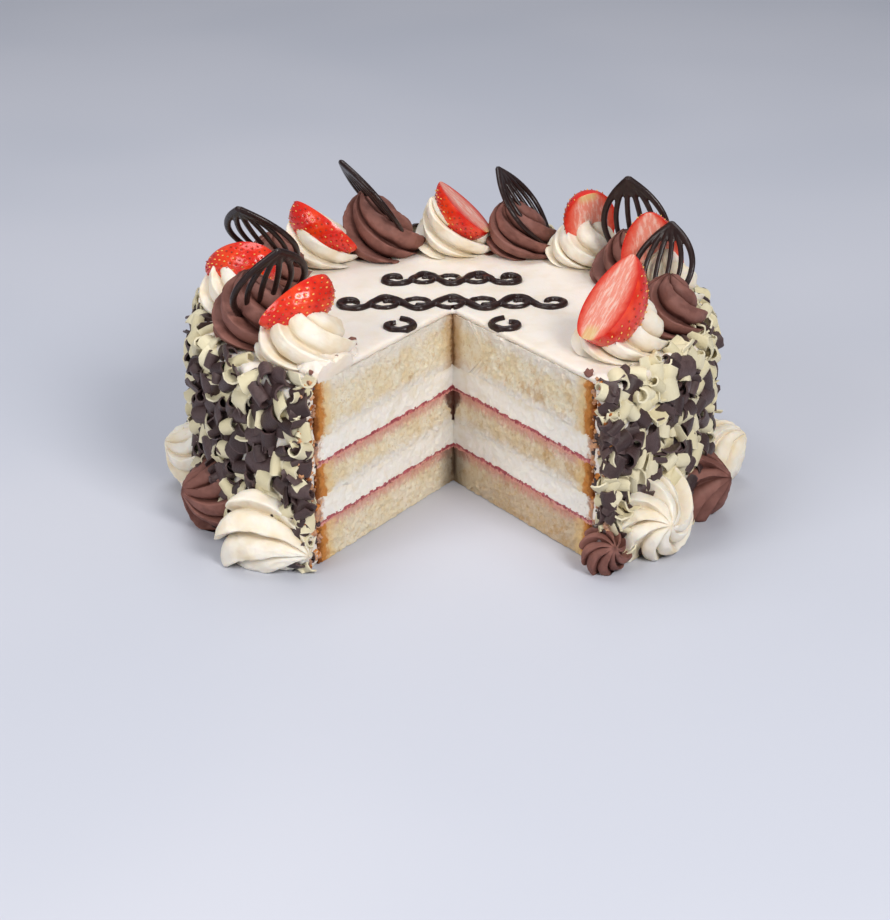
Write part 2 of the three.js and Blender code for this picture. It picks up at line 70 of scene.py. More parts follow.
# Piped rosettes, from the left of the slice round the back to its right, cream and chocolate
# by turns. On top: angle, distance from the middle (mm), size, share of the height, turn,
# the way and how far the peak leans, and the twist of the folds (degrees)
ROSETTE_RADIUS = 21.5 * MM
ROSETTE_HEIGHT = 29 * MM
TOP_RING = (
    (-48, 94, 1.1, 0.9, 20, -100, 0.1, 150), (-68, 97, 1.12, 1.05, 75, -60, 0.2, 190),
    (-91, 103, 1, 1, 10, -120, 0.16, 170), (-113, 99, 0.96, 1, 40, 90, 0.16, 190),
    (-137, 100, 1, 0.95, 0, -90, 0.2, 180), (-157, 92, 1.04, 1.08, 35, -110, 0.3, 170),
    (178, 89, 1.02, 0.98, 50, -90, 0.4, 180), (157, 92, 0.98, 1.02, 15, -90, 0.2, 200),
    (136, 97, 0.98, 1, 30, 40, 0.16, 170), (112, 97, 0.98, 1, 5, -60, 0.16, 190),
    (92, 100, 1, 1, 25, 60, 0.16, 180), (73, 105, 1, 1, 45, 30, 0.16, 190),
    (54, 98, 1.06, 0.9, 10, 90, 0.2, 160),
)

# At the foot: angle, distance from the middle and height of the foot's centre (mm), size,
# share of the height, the way and how far the rosette tips over, turn and twist (degrees)
FOOT_RING = (
    (-49, 122, 16, 1.2, 1.15, 40, 98, 20, 60), (-66, 118, 14, 1.06, 0.8, -68, 75, 30, 60),
    (-88, 119, 14, 1, 0.9, -95, 70, 10, 90), (-112, 118, 12, 0.98, 1, -108, 60, 50, 120),
    (-135, 118, 12, 1, 0.95, -140, 62, 0, 120), (-157, 118, 12, 1.02, 1, -150, 60, 35, 120),
    (180, 118, 12, 0.98, 0.95, 176, 60, 15, 120), (158, 118, 12, 0.98, 1, 160, 63, 55, 120),
    (136, 118, 12, 1.03, 0.95, 130, 60, 25, 120), (112, 118, 12, 1, 1, 116, 60, 45, 120),
    (88, 121, 13, 1, 0.95, 92, 65, 5, 110), (70, 119, 14, 1.06, 0.8, 66, 72, 30, 60),
    (48, 119, 16, 1.2, 0.8, 25, 78, 0, 110), (34, 123, 8, 0.58, 0.9, 20, 60, 40, 60),
)

# One fold of a rosette's section, from a crease round to the lip that hangs over the next
# crease: [share of the fold's turn, reach]
FOLDS = 6
FOOT_FOLDS = 9
FOLD_SECTION = (
    (0, 0.58), (0.12, 0.74), (0.34, 0.87), (0.6, 0.95), (0.86, 1.0), (1.0, 1.03), (1.05, 1.02),
    (1.01, 0.84),
)

# Height and reach up a rosette, as shares of its height and radius
ROSETTE_PROFILE = (
    (0, 0.93), (0.05, 1.01), (0.14, 1.03), (0.26, 0.97), (0.39, 0.88), (0.52, 0.77), (0.65, 0.63),
    (0.78, 0.47), (0.89, 0.28), (0.97, 0.12), (1, 0.04),
)

# Strawberry halves, one on each cream rosette: middle, direction of the tip and of the cut
# face, as (outwards, clockwise, up) from the middle of the rosette's foot, size and depth
BERRY_LENGTH = 41 * MM
BERRY_WIDTH = 29 * MM
BERRY_DEPTH = 14.5 * MM
BERRIES = (
    ((0, 5, 24), (0.97, 0.07, -0.25), (0.07, 0.86, 0.5), 1, 1),
    ((-1, 3, 20), (0.94, 0.29, -0.2), (-0.23, 0.94, 0.26), 0.96, 1),
    ((-4, 2, 18), (-0.84, 0.3, -0.44), (-0.04, 0.78, 0.62), 1, 1),
    ((-5, 4, 24), (0.35, -0.7, 0.63), (-0.03, 0.62, 0.78), 0.9, 1.15),
    ((-4, 9, 20), (0.3, -0.1, -0.95), (-0.5, 0.85, -0.05), 0.98, 1),
    ((-3, 0.5, 25), (-0.11, 0.16, 0.98), (-0.17, 0.97, -0.17), 1.1, 1),
    ((-1, 11, 28), (0.12, -0.66, 0.74), (-0.36, 0.7, 0.62), 1.12, 1.3),
)
BERRY_PROFILE = (
    (-0.495, 0.2), (-0.47, 0.45), (-0.4, 0.7), (-0.28, 0.9), (-0.12, 1), (0.05, 0.96),
    (0.2, 0.83), (0.33, 0.63), (0.43, 0.39), (0.485, 0.17),
)
SEED_COUNT = 150
SEED_LENGTH = 1.15 * MM
DIMPLE = 1.3 * MM
DIMPLE_DEPTH = 0.45 * MM
CUT_CLEAR = 0.05 * MM               # the half is cut this far off its middle, clear of corners

# Chocolate lattices, one on each chocolate rosette: foot, direction of the tip and of the
# flat side, and size, given as for the strawberries
LEAF_LENGTH = 54 * MM
LEAF_WIDTH = 34.4 * MM
LEAF_RIBS = 6
RIB_RADIUS = 1.45 * MM
LATTICES = (
    ((1, 2, 3), (0, -0.57, 0.82), (0.18, 0.81, 0.56), 1.08),
    ((-6, 9, 3), (0.12, -0.65, 0.75), (-0.06, 0.75, 0.66), 1.06),
    ((-8, 13, 3), (0.24, -0.56, 0.79), (0.05, 0.79, 0.6), 1.06),
    ((0, 19, 1), (0.02, -0.61, 0.78), (0.06, 0.77, 0.63), 0.96),
    ((7, 1, -2), (-0.16, -0.06, 0.99), (-0.77, 0.62, -0.1), 1.02),
    ((-5.5, 2, 1), (0.04, -0.6, 0.8), (-0.36, 0.74, 0.57), 0.95),
)

# Chocolate curls on the side
# Kinds of curl: width and radius (mm), turn (degrees) and how much tighter it ends
CURL_KINDS = (
    (10, 3.4, 330, 0.65), (9, 3.9, 290, 0.7), (11.5, 3.3, 340, 0.6), (10.5, 4.6, 225, 0.85),
    (11, 5.2, 180, 0.9), (10, 5.6, 160, 0.95), (12, 6, 140, 1), (11, 7, 105, 1), (9, 4.2, 250, 0.8),
)
# How far out the middles of a layer's curls lie (mm) and how far apart they are (mm)
CURL_LAYERS = ((0.3, 6.5), (2.2, 8.2))
CURL_LOW = 3 * MM
CURL_HIGH = 84 * MM
CURL_BEND = 7 * MM                  # radius of the shoulder that they climb over
BROKEN_CURLS = 60                   # at each cut

# Cream dragged along the left cut: angle, distance from the middle, half length, half width
# and height in mm, and turn; and the flecks of chocolate cream there: angle, distance from the
# middle, height above the icing and size in mm
SMEARS = ((-42, 80, 10, 9, 3, 35), (-39, 90, 14, 10, 5, 20), (-36.5, 103, 12, 9, 5, 25))
FLECKS = ((-46.8, 78, 4, 2.6), (-42.8, 69.3, 0.8, 2.4), (-45, 73, 0.6, 1), (-34.5, 93, 3, 2.2),
          (-35, 112, 2, 1.3), (34.1, 110, 0.6, 2.2))

# Piped scrolls on the icing (mm): rows by the reach of the vine to both sides, its Y, height
# and number of arches, and the radius of the volutes that it ends in; then the volutes that
# the knife left of the last row, by the middle, radius and start in degrees
PIPE_RADIUS = 2 * MM
TENDRIL = 0.72                      # thickness of a tendril
TENDRIL_TURNS = 0.85
VOLUTE_TURNS = 0.95
VOLUTE_CLOSES = 0.68                # share of its radius that a volute loses as it curls in
SCROLL_ROWS = ((20, 38, 8, 3, 8.5), (40, 3, 8.5, 5, 9))
LAST_VOLUTES = (26.5, -28, 9.5, 100)


def outward(angle):
    return Vector((math.sin(math.radians(angle)), -math.cos(math.radians(angle)), 0))


def clockwise(angle):
    return Vector((-math.cos(math.radians(angle)), -math.sin(math.radians(angle)), 0))


CUT_LEFT_ALONG = (outward(CUT_LEFT) * CUT_RADIUS - APEX).normalized()
CUT_RIGHT_ALONG = (outward(CUT_RIGHT) * CUT_RADIUS - APEX).normalized()
CUT_LEFT_FACE = Vector((-CUT_LEFT_ALONG.y, CUT_LEFT_ALONG.x, 0))
CUT_RIGHT_FACE = Vector((CUT_RIGHT_ALONG.y, -CUT_RIGHT_ALONG.x, 0))


# ---- modelling helpers ----

def start(add, name, **size):
    """A new primitive, with nothing else selected."""
    bpy.ops.object.select_all(action="DESELECT")
    add(**size)
    piece = bpy.context.active_object
    piece.name = name
    piece.data.name = name
    return piece


def take(piece):
    """Makes a piece the only selected one."""
    bpy.ops.object.select_all(action="DESELECT")
    piece.select_set(True)
    bpy.context.view_layer.objects.active = piece


def edit():
    bpy.ops.object.mode_set(mode="EDIT")


def done():
    bpy.ops.object.mode_set(mode="OBJECT")


def choose(piece, test, kind="VERT"):
    """Selects, in edit mode, the vertices, edges or faces that pass a test, and no others."""
    bpy.ops.mesh.select_mode(type=kind)
    bpy.ops.mesh.select_all(action="DESELECT")
    mesh = bmesh.from_edit_mesh(piece.data)
    parts = {"VERT": mesh.verts, "EDGE": mesh.edges, "FACE": mesh.faces}[kind]
    chosen = 0
    for part in parts:
        if test(part):
            part.select_set(True)
            chosen += 1
    mesh.select_flush_mode()
    bmesh.update_edit_mesh(piece.data)
    return chosen


def swing(degrees, axis="Z", centre=(0, 0, 0)):
    """Turns what is selected, by the right-hand rule. With no window the operator turns back."""
    bpy.ops.transform.rotate(value=-math.radians(degrees), orient_axis=axis, center_override=centre)


def resize(x, y, z, centre=(0, 0, 0)):
    bpy.ops.transform.resize(value=(x, y, z), center_override=centre)


def apply(piece, kind, name="", **settings):
    """Adds a modifier and applies it at once."""
    take(piece)
    modifier = piece.modifiers.new(name or kind.lower(), kind)
    for key, value in settings.items():
        setattr(modifier, key, value)
    bpy.ops.object.modifier_apply(modifier=modifier.name)


def ruffle(piece, size, depth, kind="CLOUDS", group="", direction="NORMAL", level=0.5):
    """Pushes a surface in and out by a procedural texture of the given size and depth."""
    texture = bpy.data.textures.new(piece.name + kind.lower(), kind)
    texture.noise_scale = size
    apply(piece, "DISPLACE", texture=texture, texture_coords="LOCAL", strength=depth,
          mid_level=level, vertex_group=group, direction=direction)


def smooth(piece, degrees=None):
    take(piece)
    if degrees:
        bpy.ops.object.shade_smooth_by_angle(angle=math.radians(degrees))
    else:
        bpy.ops.object.shade_smooth()


def keep(piece, name, values, kind="FLOAT"):
    """Stores one value for each vertex, for the piece's material to read."""
    attribute = piece.data.attributes.new(name, kind, "POINT")
    field = "vector" if kind == "FLOAT_VECTOR" else "value"
    attribute.data.foreach_set(field, values)


def keep_own_place(piece):
    """Stores each vertex's place in the piece's own frame, before the piece is put in place."""
    keep(piece, "own", [x for v in piece.data.vertices for x in v.co], "FLOAT_VECTOR")


def settle(piece, material, slot, *nodes):
    """Finishes a piece: its material, the body it rides on and the solids it stands for.
    What would reach under the cake is pressed flat just above the floor."""
    for vertex in piece.data.vertices:
        vertex.co.z = max(vertex.co.z, 0.3 * MM)
    piece.data.materials.clear()
    piece.data.materials.append(material)
    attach(piece, "root")
    if nodes:
        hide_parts(*nodes)
    return piece


def place_on(spot, at, tip, face):
    """Where something stands on a rosette: its own Y axis points to the tip, its Z to the face."""
    angle, reach = spot[:2]
    axes = Matrix((outward(angle), clockwise(angle), (0, 0, 1))).transposed()
    along = (axes @ Vector(tip)).normalized()
    side = along.cross(axes @ Vector(face)).normalized()
    normal = side.cross(along)
    foot = outward(angle) * reach * MM + axes @ Vector(at) * MM + Vector((0, 0, CAKE_HEIGHT))
    turn = Matrix((side, along, normal)).transposed().to_4x4()
    return Matrix.Translation(foot) @ turn


# ---- material helpers ----

def add(tree, kind, settings=None, **inputs):
    """A shader node. Each input is a value or another node's output; _ stands for a space."""
    made = tree.nodes.new("ShaderNode" + kind)
    for key, value in (settings or {}).items():
        setattr(made, key, value)
    for key, value in inputs.items():
        socket = made.inputs[int(key[1:])] if key[1:].isdigit() else made.inputs[key.replace("_", " ")]
        if isinstance(value, bpy.types.NodeSocket):
            tree.links.new(value, socket)
        else:
            socket.default_value = value
    return made


def blend(tree, mask, first, second):
    """The first colour where the mask is 0 and the second where it is 1."""
    return add(tree, "Mix", {"data_type": "RGBA"}, i0=mask, i6=first, i7=second).outputs[2]


def span(tree, value, low, high, smooth_step=True):
    """0 below the low value, 1 above the high one."""
    kind = "SMOOTHSTEP" if smooth_step else "LINEAR"
    return add(tree, "MapRange", {"interpolation_type": kind}, Value=value,
               From_Min=low, From_Max=high).outputs[0]


def calc(tree, operation, first, second=0.5):
    return add(tree, "Math", {"operation": operation}, i0=first, i1=second).outputs[0]


def srgb(red, green, blue):
    """A shader colour from the 0 to 255 values that a picture shows."""
    def linear(value):
        value /= 255
        return value / 12.92 if value <= 0.04045 else ((value + 0.055) / 1.055) ** 2.4
    return (linear(red), linear(green), linear(blue), 1)


def new_group(name, inputs, outputs):
    """A shader node group with its named sockets; returns it with its two ends."""
    group = bpy.data.node_groups.new(name, "ShaderNodeTree")
    for way, sockets in (("INPUT", inputs), ("OUTPUT", outputs)):
        for label, kind in sockets:
            group.interface.new_socket(label, in_out=way, socket_type="NodeSocket" + kind)
    return group, group.nodes.new("NodeGroupInput"), group.nodes.new("NodeGroupOutput")


def use(tree, group, **inputs):
    made = tree.nodes.new("ShaderNodeGroup")
    made.node_tree = group
    for key, value in inputs.items():
        socket = made.inputs[key.replace("_", " ")]
        if isinstance(value, bpy.types.NodeSocket):
            tree.links.new(value, socket)
        else:
            socket.default_value = value
    return made


def new_material(name, **constants):
    """A material with its Principled shader; constants go on the shader's own sockets."""
    material = bpy.data.materials.new(name)
    material.use_nodes = True
    tree = material.node_tree
    shader = tree.nodes["Principled BSDF"]
    for key, value in constants.items():
        shader.inputs[key.replace("_", " ")].default_value = value
    return material, tree, shader


def feed(tree, shader, **inputs):
    for key, value in inputs.items():
        tree.links.new(value, shader.inputs[key.replace("_", " ")])


def object_place(tree):
    return add(tree, "TexCoord").outputs["Object"]


def stored(tree, name, output="Fac"):
    return add(tree, "Attribute", {"attribute_name": name}).outputs[output]


# ---- shared effects ----

def make_mottle():
    """Two colours mixed in soft patches of a given size, with the mask of the patches."""
    group, given, out = new_group(
        "soft_patches",
        (("Place", "Vector"), ("Size", "Float"), ("Detail", "Float"), ("First", "Color"),
         ("Second", "Color"), ("Low", "Float"), ("High", "Float")),
        (("Color", "Color"), ("Mask", "Float")))
    scale = calc(group, "DIVIDE", 1.0, given.outputs["Size"])
    noise = add(group, "TexNoise", None, Vector=given.outputs["Place"], Scale=scale,
                Detail=given.outputs["Detail"], Roughness=0.6)
    mask = add(group, "MapRange", {"interpolation_type": "SMOOTHSTEP"}, Value=noise.outputs[0],
               From_Min=given.outputs["Low"], From_Max=given.outputs["High"]).outputs[0]
    group.links.new(mask, out.inputs["Mask"])
    group.links.new(blend(group, mask, given.outputs["First"], given.outputs["Second"]),
                    out.inputs["Color"])
    return group


def make_pores():
    """Round pores of a given size, spread over a surface: where they are, and their depth."""
    group, given, out = new_group(
        "crumb_pores", (("Place", "Vector"), ("Size", "Float"), ("Share", "Float")),
        (("Mask", "Float"), ("Height", "Float")))
    scale = calc(group, "DIVIDE", 1.0, given.outputs["Size"])
    warp = add(group, "TexNoise", None, Vector=given.outputs["Place"],
               Scale=calc(group, "MULTIPLY", scale, 0.7), Detail=2.0)
    bent = add(group, "VectorMath", {"operation": "MULTIPLY_ADD"}, i0=warp.outputs[1],
               i1=(0.0008, 0.0008, 0.0008), i2=given.outputs["Place"]).outputs[0]
    cells = add(group, "TexVoronoi", None, Vector=bent, Scale=scale, Randomness=1.0)
    reach = calc(group, "MULTIPLY", given.outputs["Share"], 0.55)
    depth = add(group, "MapRange", {"interpolation_type": "SMOOTHSTEP"},
                Value=cells.outputs["Distance"], From_Min=reach,
                From_Max=0.0).outputs[0]
    group.links.new(depth, out.inputs["Mask"])
    group.links.new(calc(group, "SUBTRACT", 1.0, depth), out.inputs["Height"])
    return group


MOTTLE = make_mottle()
PORES = make_pores()


def patches(tree, place, size, first, second, low=0.4, high=0.6, detail=2.0):
    return use(tree, MOTTLE, Place=place, Size=size, Detail=detail, First=first, Second=second,
               Low=low, High=high)


def fine_noise(tree, place, size, detail=3.0, roughness=0.6):
    return add(tree, "TexNoise", None, Vector=place, Scale=1 / size, Detail=detail,
               Roughness=roughness).outputs[0]


def bump(tree, height, distance, strength=1.0, normal=None):
    made = add(tree, "Bump", None, Height=height, Distance=distance, Strength=strength)
    if normal:
        tree.links.new(normal, made.inputs["Normal"])
    return made.outputs[0]


# ---- materials ----

def make_buttercream(name, light, shade):
    """Whipped buttercream: satin, a little see-through, with warmer painted shade in its creases."""
    material, tree, shader = new_material(
        name, Roughness=0.5, Subsurface_Weight=0.25, Subsurface_Radius=(0.006, 0.004, 0.0022),
        Subsurface_Scale=0.6, Specular_IOR_Level=0.35)
    place = object_place(tree)
    base = patches(tree, place, 14 * MM, light, shade, 0.35, 0.8).outputs["Color"]
    # painted shade: the deeper a point lies in a crease (hollow), the nearer it is to the shade colour
    hollow = calc(tree, "MULTIPLY", stored(tree, "hollow"), 0.6)
    feed(tree, shader, Base_Color=blend(tree, hollow, base, shade),
         Normal=bump(tree, fine_noise(tree, place, 1.6 * MM), 0.00025))
    return material


def make_chocolate_cream():
    """Chocolate buttercream: matt brown in soft patches, with painted shade in the creases of its
    folds.
    """
    material, tree, shader = new_material(
        "chocolate_cream", Roughness=0.62, Specular_IOR_Level=0.3,
        Subsurface_Weight=0.05, Subsurface_Radius=(0.003, 0.0015, 0.001))
    place = object_place(tree)
    base = patches(tree, place, 9 * MM, srgb(136, 91, 81), srgb(118, 76, 67)).outputs["Color"]
    # painted shade: the creases of the folds darkened towards deep brown
    dark = blend(tree, calc(tree, "MULTIPLY", stored(tree, "hollow"), 0.8), base, srgb(74, 38, 30))
    feed(tree, shader, Base_Color=dark, Normal=bump(tree, fine_noise(tree, place, 1.2 * MM), 0.0002))
    return material


def browned(tree, place):
    return patches(tree, place, 3 * MM, srgb(206, 130, 52), srgb(146, 76, 24)).outputs["Color"]


def make_crust():
    material, tree, shader = new_material("crust", Roughness=0.7)
    place = object_place(tree)
    feed(tree, shader, Base_Color=browned(tree, place))
    return material


def level_in(tree, z):
    """Height above the last line that lies a whole number of layers up."""
    return calc(tree, "MODULO", z, PITCH)


def drips(tree, place, size):
    """Noise drawn out downwards, minus to plus a half, for what seeps and tears at the cut."""
    x, y, z = add(tree, "SeparateXYZ", None, Vector=place).outputs
    drawn = add(tree, "CombineXYZ", None, X=x, Y=y, Z=calc(tree, "MULTIPLY", z, 0.35))
    return calc(tree, "SUBTRACT", fine_noise(tree, drawn.outputs[0], size, 4.0, 0.65))


def make_sponge():
    """Vanilla sponge: open crumb, browned at its rim, pink under the jam, white where cream
    soaked in, and stained down the apex; painted shade darkens it low down, more on the right,
    and in its pores, and a painted shadow lies at the foot of the apex."""
    material, tree, shader = new_material(
        "sponge", Roughness=0.85, Specular_IOR_Level=0.15,
        Subsurface_Weight=0.2, Subsurface_Radius=(0.004, 0.0028, 0.0018))
    place = object_place(tree)
    x, y, z = add(tree, "SeparateXYZ", None, Vector=place).outputs
    flat = add(tree, "CombineXYZ", None, X=x, Y=y).outputs[0]
    level = level_in(tree, z)
    wander = calc(tree, "SUBTRACT", fine_noise(tree, place, 5 * MM, 5.0, 0.65))
    right = span(tree, x, 0, 0.03)
    # crumb: mottled, golden in patches and with painted shade low down, both more so on the right
    crumb = patches(tree, place, 16 * MM, srgb(250, 239, 215), srgb(243, 226, 190), 0.4, 0.66,
                    3.0).outputs["Color"]
    mottle = calc(tree, "MULTIPLY", span(tree, fine_noise(tree, place, 2.6 * MM, 4.0), 0.5, 0.66),
                  0.5)
    crumb = blend(tree, mottle, crumb, srgb(230, 202, 150))
    golden = calc(tree, "ADD", fine_noise(tree, place, 9 * MM, 4.0),
                  calc(tree, "MULTIPLY", x, 1.3))
    crumb = blend(tree, calc(tree, "MULTIPLY", span(tree, golden, 0.56, 0.72), 0.6), crumb,
                  srgb(208, 166, 108))
    # painted shade: darker towards the bottom, much more so on the right
    painted_low_shade = calc(tree, "MULTIPLY", span(tree, z, 0.075, 0), calc(
        tree, "ADD", calc(tree, "MULTIPLY", right, 0.4), 0.06))
    crumb = blend(tree, painted_low_shade, crumb, srgb(176, 128, 78))
    # pores: pits in the bump, with painted shade in them
    pores = fine_noise(tree, place, 1.4 * MM, 4.0, 0.7)
    crumb = blend(tree, calc(tree, "MULTIPLY", span(tree, pores, 0.42, 0.3), 0.6), crumb,
                  srgb(192, 152, 100))
    # cream soaks in from below and under the icing, jam from above
    soaked = calc(tree, "ADD", level, calc(tree, "MULTIPLY", wander, 0.012))
    soaked = calc(tree, "MULTIPLY", span(tree, soaked, 0.009, 0.0025), span(tree, z, 0.024, 0.026))
    high = calc(tree, "ADD", z, calc(tree, "MULTIPLY", wander, 0.014))
    soaked = calc(tree, "MAXIMUM", soaked, calc(tree, "MULTIPLY", span(tree, high, 0.08, 0.088), 0.8))
    crumb = blend(tree, soaked, crumb, srgb(246, 240, 230))
    seeped = calc(tree, "ADD", level, calc(tree, "MULTIPLY", drips(tree, place, 1.6 * MM), 0.01))
    seeped = calc(tree, "MULTIPLY", span(tree, seeped, 0.0125, 0.0188), span(tree, z, 0.062, 0.06))
    crumb = blend(tree, calc(tree, "MULTIPLY", seeped, 0.75), crumb, srgb(214, 142, 132))
    # rim: straw, then brown, then dark where it met the tin
    reach = add(tree, "VectorMath", {"operation": "LENGTH"}, i0=flat).outputs["Value"]
    reach = calc(tree, "ADD", reach, calc(tree, "MULTIPLY", wander, 0.009))
    for begin, end, share, colour in ((0.1, 0.1075, 0.75, srgb(240, 206, 146)),
                                      (0.1075, 0.1105, 0.9, srgb(206, 130, 52)),
                                      (0.111, 0.1155, 0.85, srgb(122, 62, 24))):
        crumb = blend(tree, calc(tree, "MULTIPLY", span(tree, reach, begin, end), share), crumb,
                      colour)
    # apex: syrup down the top sponge, blots of jam on the middle one, painted shadow on the lowest
    apart = add(tree, "VectorMath", {"operation": "DISTANCE"}, i0=flat,
                i1=tuple(APEX)).outputs["Value"]
    apart = calc(tree, "ADD", apart, calc(tree, "MULTIPLY", wander, 0.007))
    syrup = calc(tree, "MULTIPLY", span(tree, apart, 0.012, 0.001), calc(
        tree, "ADD", calc(tree, "MULTIPLY", right, 2), 0.7))
    crumb = blend(tree, calc(tree, "MULTIPLY", syrup, span(tree, z, 0.06, 0.063)), crumb,
                  srgb(196, 150, 88))
    crumb = blend(tree, calc(tree, "MULTIPLY", span(tree, apart, 0.003, 0.0006), 0.75), crumb,
                  srgb(140, 92, 46))
    blots = calc(tree, "ADD", calc(tree, "MULTIPLY", span(tree, z, 0.036, 0.048), 0.0065), 0.0015)
    blots = calc(tree, "MULTIPLY", span(tree, calc(tree, "DIVIDE", apart, blots), 1.15, 0.7),
                 calc(tree, "MULTIPLY", span(tree, z, 0.052, 0.05), span(tree, z, 0.03, 0.032)))
    crumb = blend(tree, calc(tree, "MULTIPLY", blots, 0.85), crumb, srgb(84, 38, 32))
    # painted shadow at the foot of the apex, greyish brown
    painted_apex_shadow = calc(tree, "MULTIPLY", span(tree, apart, 0.016, 0.002), span(tree, z, 0.024, 0.019))
    crumb = blend(tree, calc(tree, "MULTIPLY", painted_apex_shadow, 0.75), crumb, srgb(104, 84, 64))
    feed(tree, shader, Base_Color=crumb,
         Normal=bump(tree, pores, 0.001, 0.7, bump(tree, fine_noise(tree, place, 0.7 * MM), 0.0004)))
    return material


def make_filling():
    """Cream filling at the cut: white, with crumb dragged into its upper side and its end."""
    material, tree, shader = new_material(
        "filling", Roughness=0.6, Specular_IOR_Level=0.25, Subsurface_Weight=0.2,
        Subsurface_Radius=(0.005, 0.0038, 0.0024))
    place = object_place(tree)
    x, y, z = add(tree, "SeparateXYZ", None, Vector=place).outputs
    wander = calc(tree, "SUBTRACT", fine_noise(tree, place, 3.5 * MM, 4.0))
    base = patches(tree, place, 8 * MM, srgb(248, 243, 234), srgb(238, 229, 210), 0.5, 0.8)
    level = level_in(tree, calc(tree, "SUBTRACT", z, 0.02))
    soaked = calc(tree, "ADD", level, calc(tree, "MULTIPLY", wander, 0.009))
    colour = blend(tree, calc(tree, "MULTIPLY", span(tree, soaked, 0.009, 0.0135), 0.5),
                   base.outputs["Color"], srgb(238, 226, 200))
    flat = add(tree, "CombineXYZ", None, X=x, Y=y).outputs[0]
    reach = add(tree, "VectorMath", {"operation": "LENGTH"}, i0=flat).outputs["Value"]
    reach = calc(tree, "ADD", reach, calc(tree, "MULTIPLY", wander, 0.014))
    dragged = calc(tree, "MULTIPLY", span(tree, reach, 0.11, 0.1145), 0.8)
    feed(tree, shader, Base_Color=blend(tree, dragged, colour, browned(tree, place)),
         Normal=bump(tree, fine_noise(tree, place, 1.4 * MM, 4.0, 0.7), 0.001, 0.8))
    return material


def make_jam():
    """Jam line: dull red, its lower side torn into the sponge."""
    material, tree, shader = new_material(
        "jam", Roughness=0.45, Subsurface_Weight=0.2, Subsurface_Radius=(0.003, 0.0006, 0.0006))
    place = object_place(tree)
    z = add(tree, "SeparateXYZ", None, Vector=place).outputs[2]
    base = patches(tree, place, 3 * MM, srgb(150, 52, 66), srgb(190, 100, 106), 0.4, 0.65)
    level = level_in(tree, calc(tree, "SUBTRACT", z, 0.0185))
    torn = calc(tree, "ADD", level, calc(tree, "MULTIPLY", drips(tree, place, 1.6 * MM), 0.0055))
    feed(tree, shader, Base_Color=blend(tree, span(tree, torn, 0.0016, 0.0007),
                                        base.outputs["Color"], srgb(218, 156, 142)),
         Normal=bump(tree, fine_noise(tree, place, 1.0 * MM), 0.0004))
    return material


def make_curl(name, fresh, bloom_and_edge_highlight, roughness):
    """A chocolate shaving, each with its own tone, with patches of bloom and edges paled by painted
    highlight and bloom.
    """
    material, tree, shader = new_material(name, Roughness=roughness, Specular_IOR_Level=0.4)
    place = object_place(tree)
    mask = calc(tree, "MULTIPLY", fine_noise(tree, place, 2.5 * MM, 4.0), stored(tree, "tone"))
    # edges: painted highlight along the rims, mixed with bloom
    edge_highlight_and_bloom = calc(tree, "MULTIPLY", span(tree, stored(tree, "edge"), 0.8, 1), 0.5)
    base = blend(tree, calc(tree, "MAXIMUM", mask, edge_highlight_and_bloom), fresh, bloom_and_edge_highlight)
    feed(tree, shader, Base_Color=base,
         Normal=bump(tree, fine_noise(tree, place, 0.9 * MM, 4.0), 0.0003))
    return material


def make_couverture():
    """Set dark chocolate: near black and semi-gloss."""
    material, tree, shader = new_material("couverture", Roughness=0.3, Specular_IOR_Level=0.35)
    place = object_place(tree)
    base = patches(tree, place, 6 * MM, srgb(36, 20, 18), srgb(50, 32, 29), 0.45, 0.8)
    feed(tree, shader, Base_Color=base.outputs["Color"],
         Normal=bump(tree, fine_noise(tree, place, 2.0 * MM), 0.0002))
    return material


def make_strawberry():
    """Strawberry: glossy red skin, and a cut face that pales from its rim to its core."""
    material, tree, shader = new_material(
        "strawberry", Roughness=0.25, Coat_Weight=0.25, Coat_Roughness=0.15,
        Subsurface_Weight=0.3, Subsurface_Radius=(0.005, 0.0014, 0.0009), Subsurface_Scale=0.5)
    own = stored(tree, "own", "Vector")
    axes = add(tree, "SeparateXYZ", None, Vector=own)
    cut = span(tree, axes.outputs[2], -0.0005, -0.0001)
    wide = calc(tree, "ADD", stored(tree, "rim"), calc(
        tree, "MULTIPLY", calc(tree, "SUBTRACT", fine_noise(tree, own, 4 * MM)), 0.25))
    streak_place = add(tree, "CombineXYZ", None, X=calc(tree, "MULTIPLY", axes.outputs[0], 520.0),
                       Y=calc(tree, "MULTIPLY", axes.outputs[1], 130.0))
    streak = add(tree, "TexNoise", None, Vector=streak_place.outputs[0], Scale=1.0,
                 Detail=4.0, Roughness=0.65).outputs[0]
    flesh = blend(tree, span(tree, wide, 0.98, 0.72), srgb(212, 36, 20), srgb(232, 96, 74))
    flesh = blend(tree, span(tree, wide, 0.8, 0.3), flesh, srgb(241, 150, 130))
    core = calc(tree, "MULTIPLY", span(tree, wide, 0.85, 0.3), span(tree, streak, 0.45, 0.62))
    flesh = blend(tree, calc(tree, "MULTIPLY", core, 0.8), flesh, srgb(251, 214, 198))
    stalk = calc(tree, "MULTIPLY", span(tree, axes.outputs[1], -0.0135, -0.0185),
                 span(tree, calc(tree, "ABSOLUTE", axes.outputs[0], 0), 0.0065, 0.0025))
    flesh = blend(tree, calc(tree, "MULTIPLY", stalk, 0.65), flesh, srgb(226, 206, 134))
    skin = patches(tree, own, 12 * MM, srgb(214, 28, 12), srgb(236, 70, 24), 0.4, 0.7)
    feed(tree, shader, Base_Color=blend(tree, cut, skin.outputs["Color"], flesh),
         Normal=bump(tree, streak, 0.0003))
    return material


def make_seed():
    material, tree, shader = new_material("seed", Roughness=0.35)
    tone = stored(tree, "tone")
    feed(tree, shader, Base_Color=blend(tree, span(tree, tone, 0.3, 0.6), srgb(240, 190, 96),
                                        srgb(150, 40, 14)))
    return material


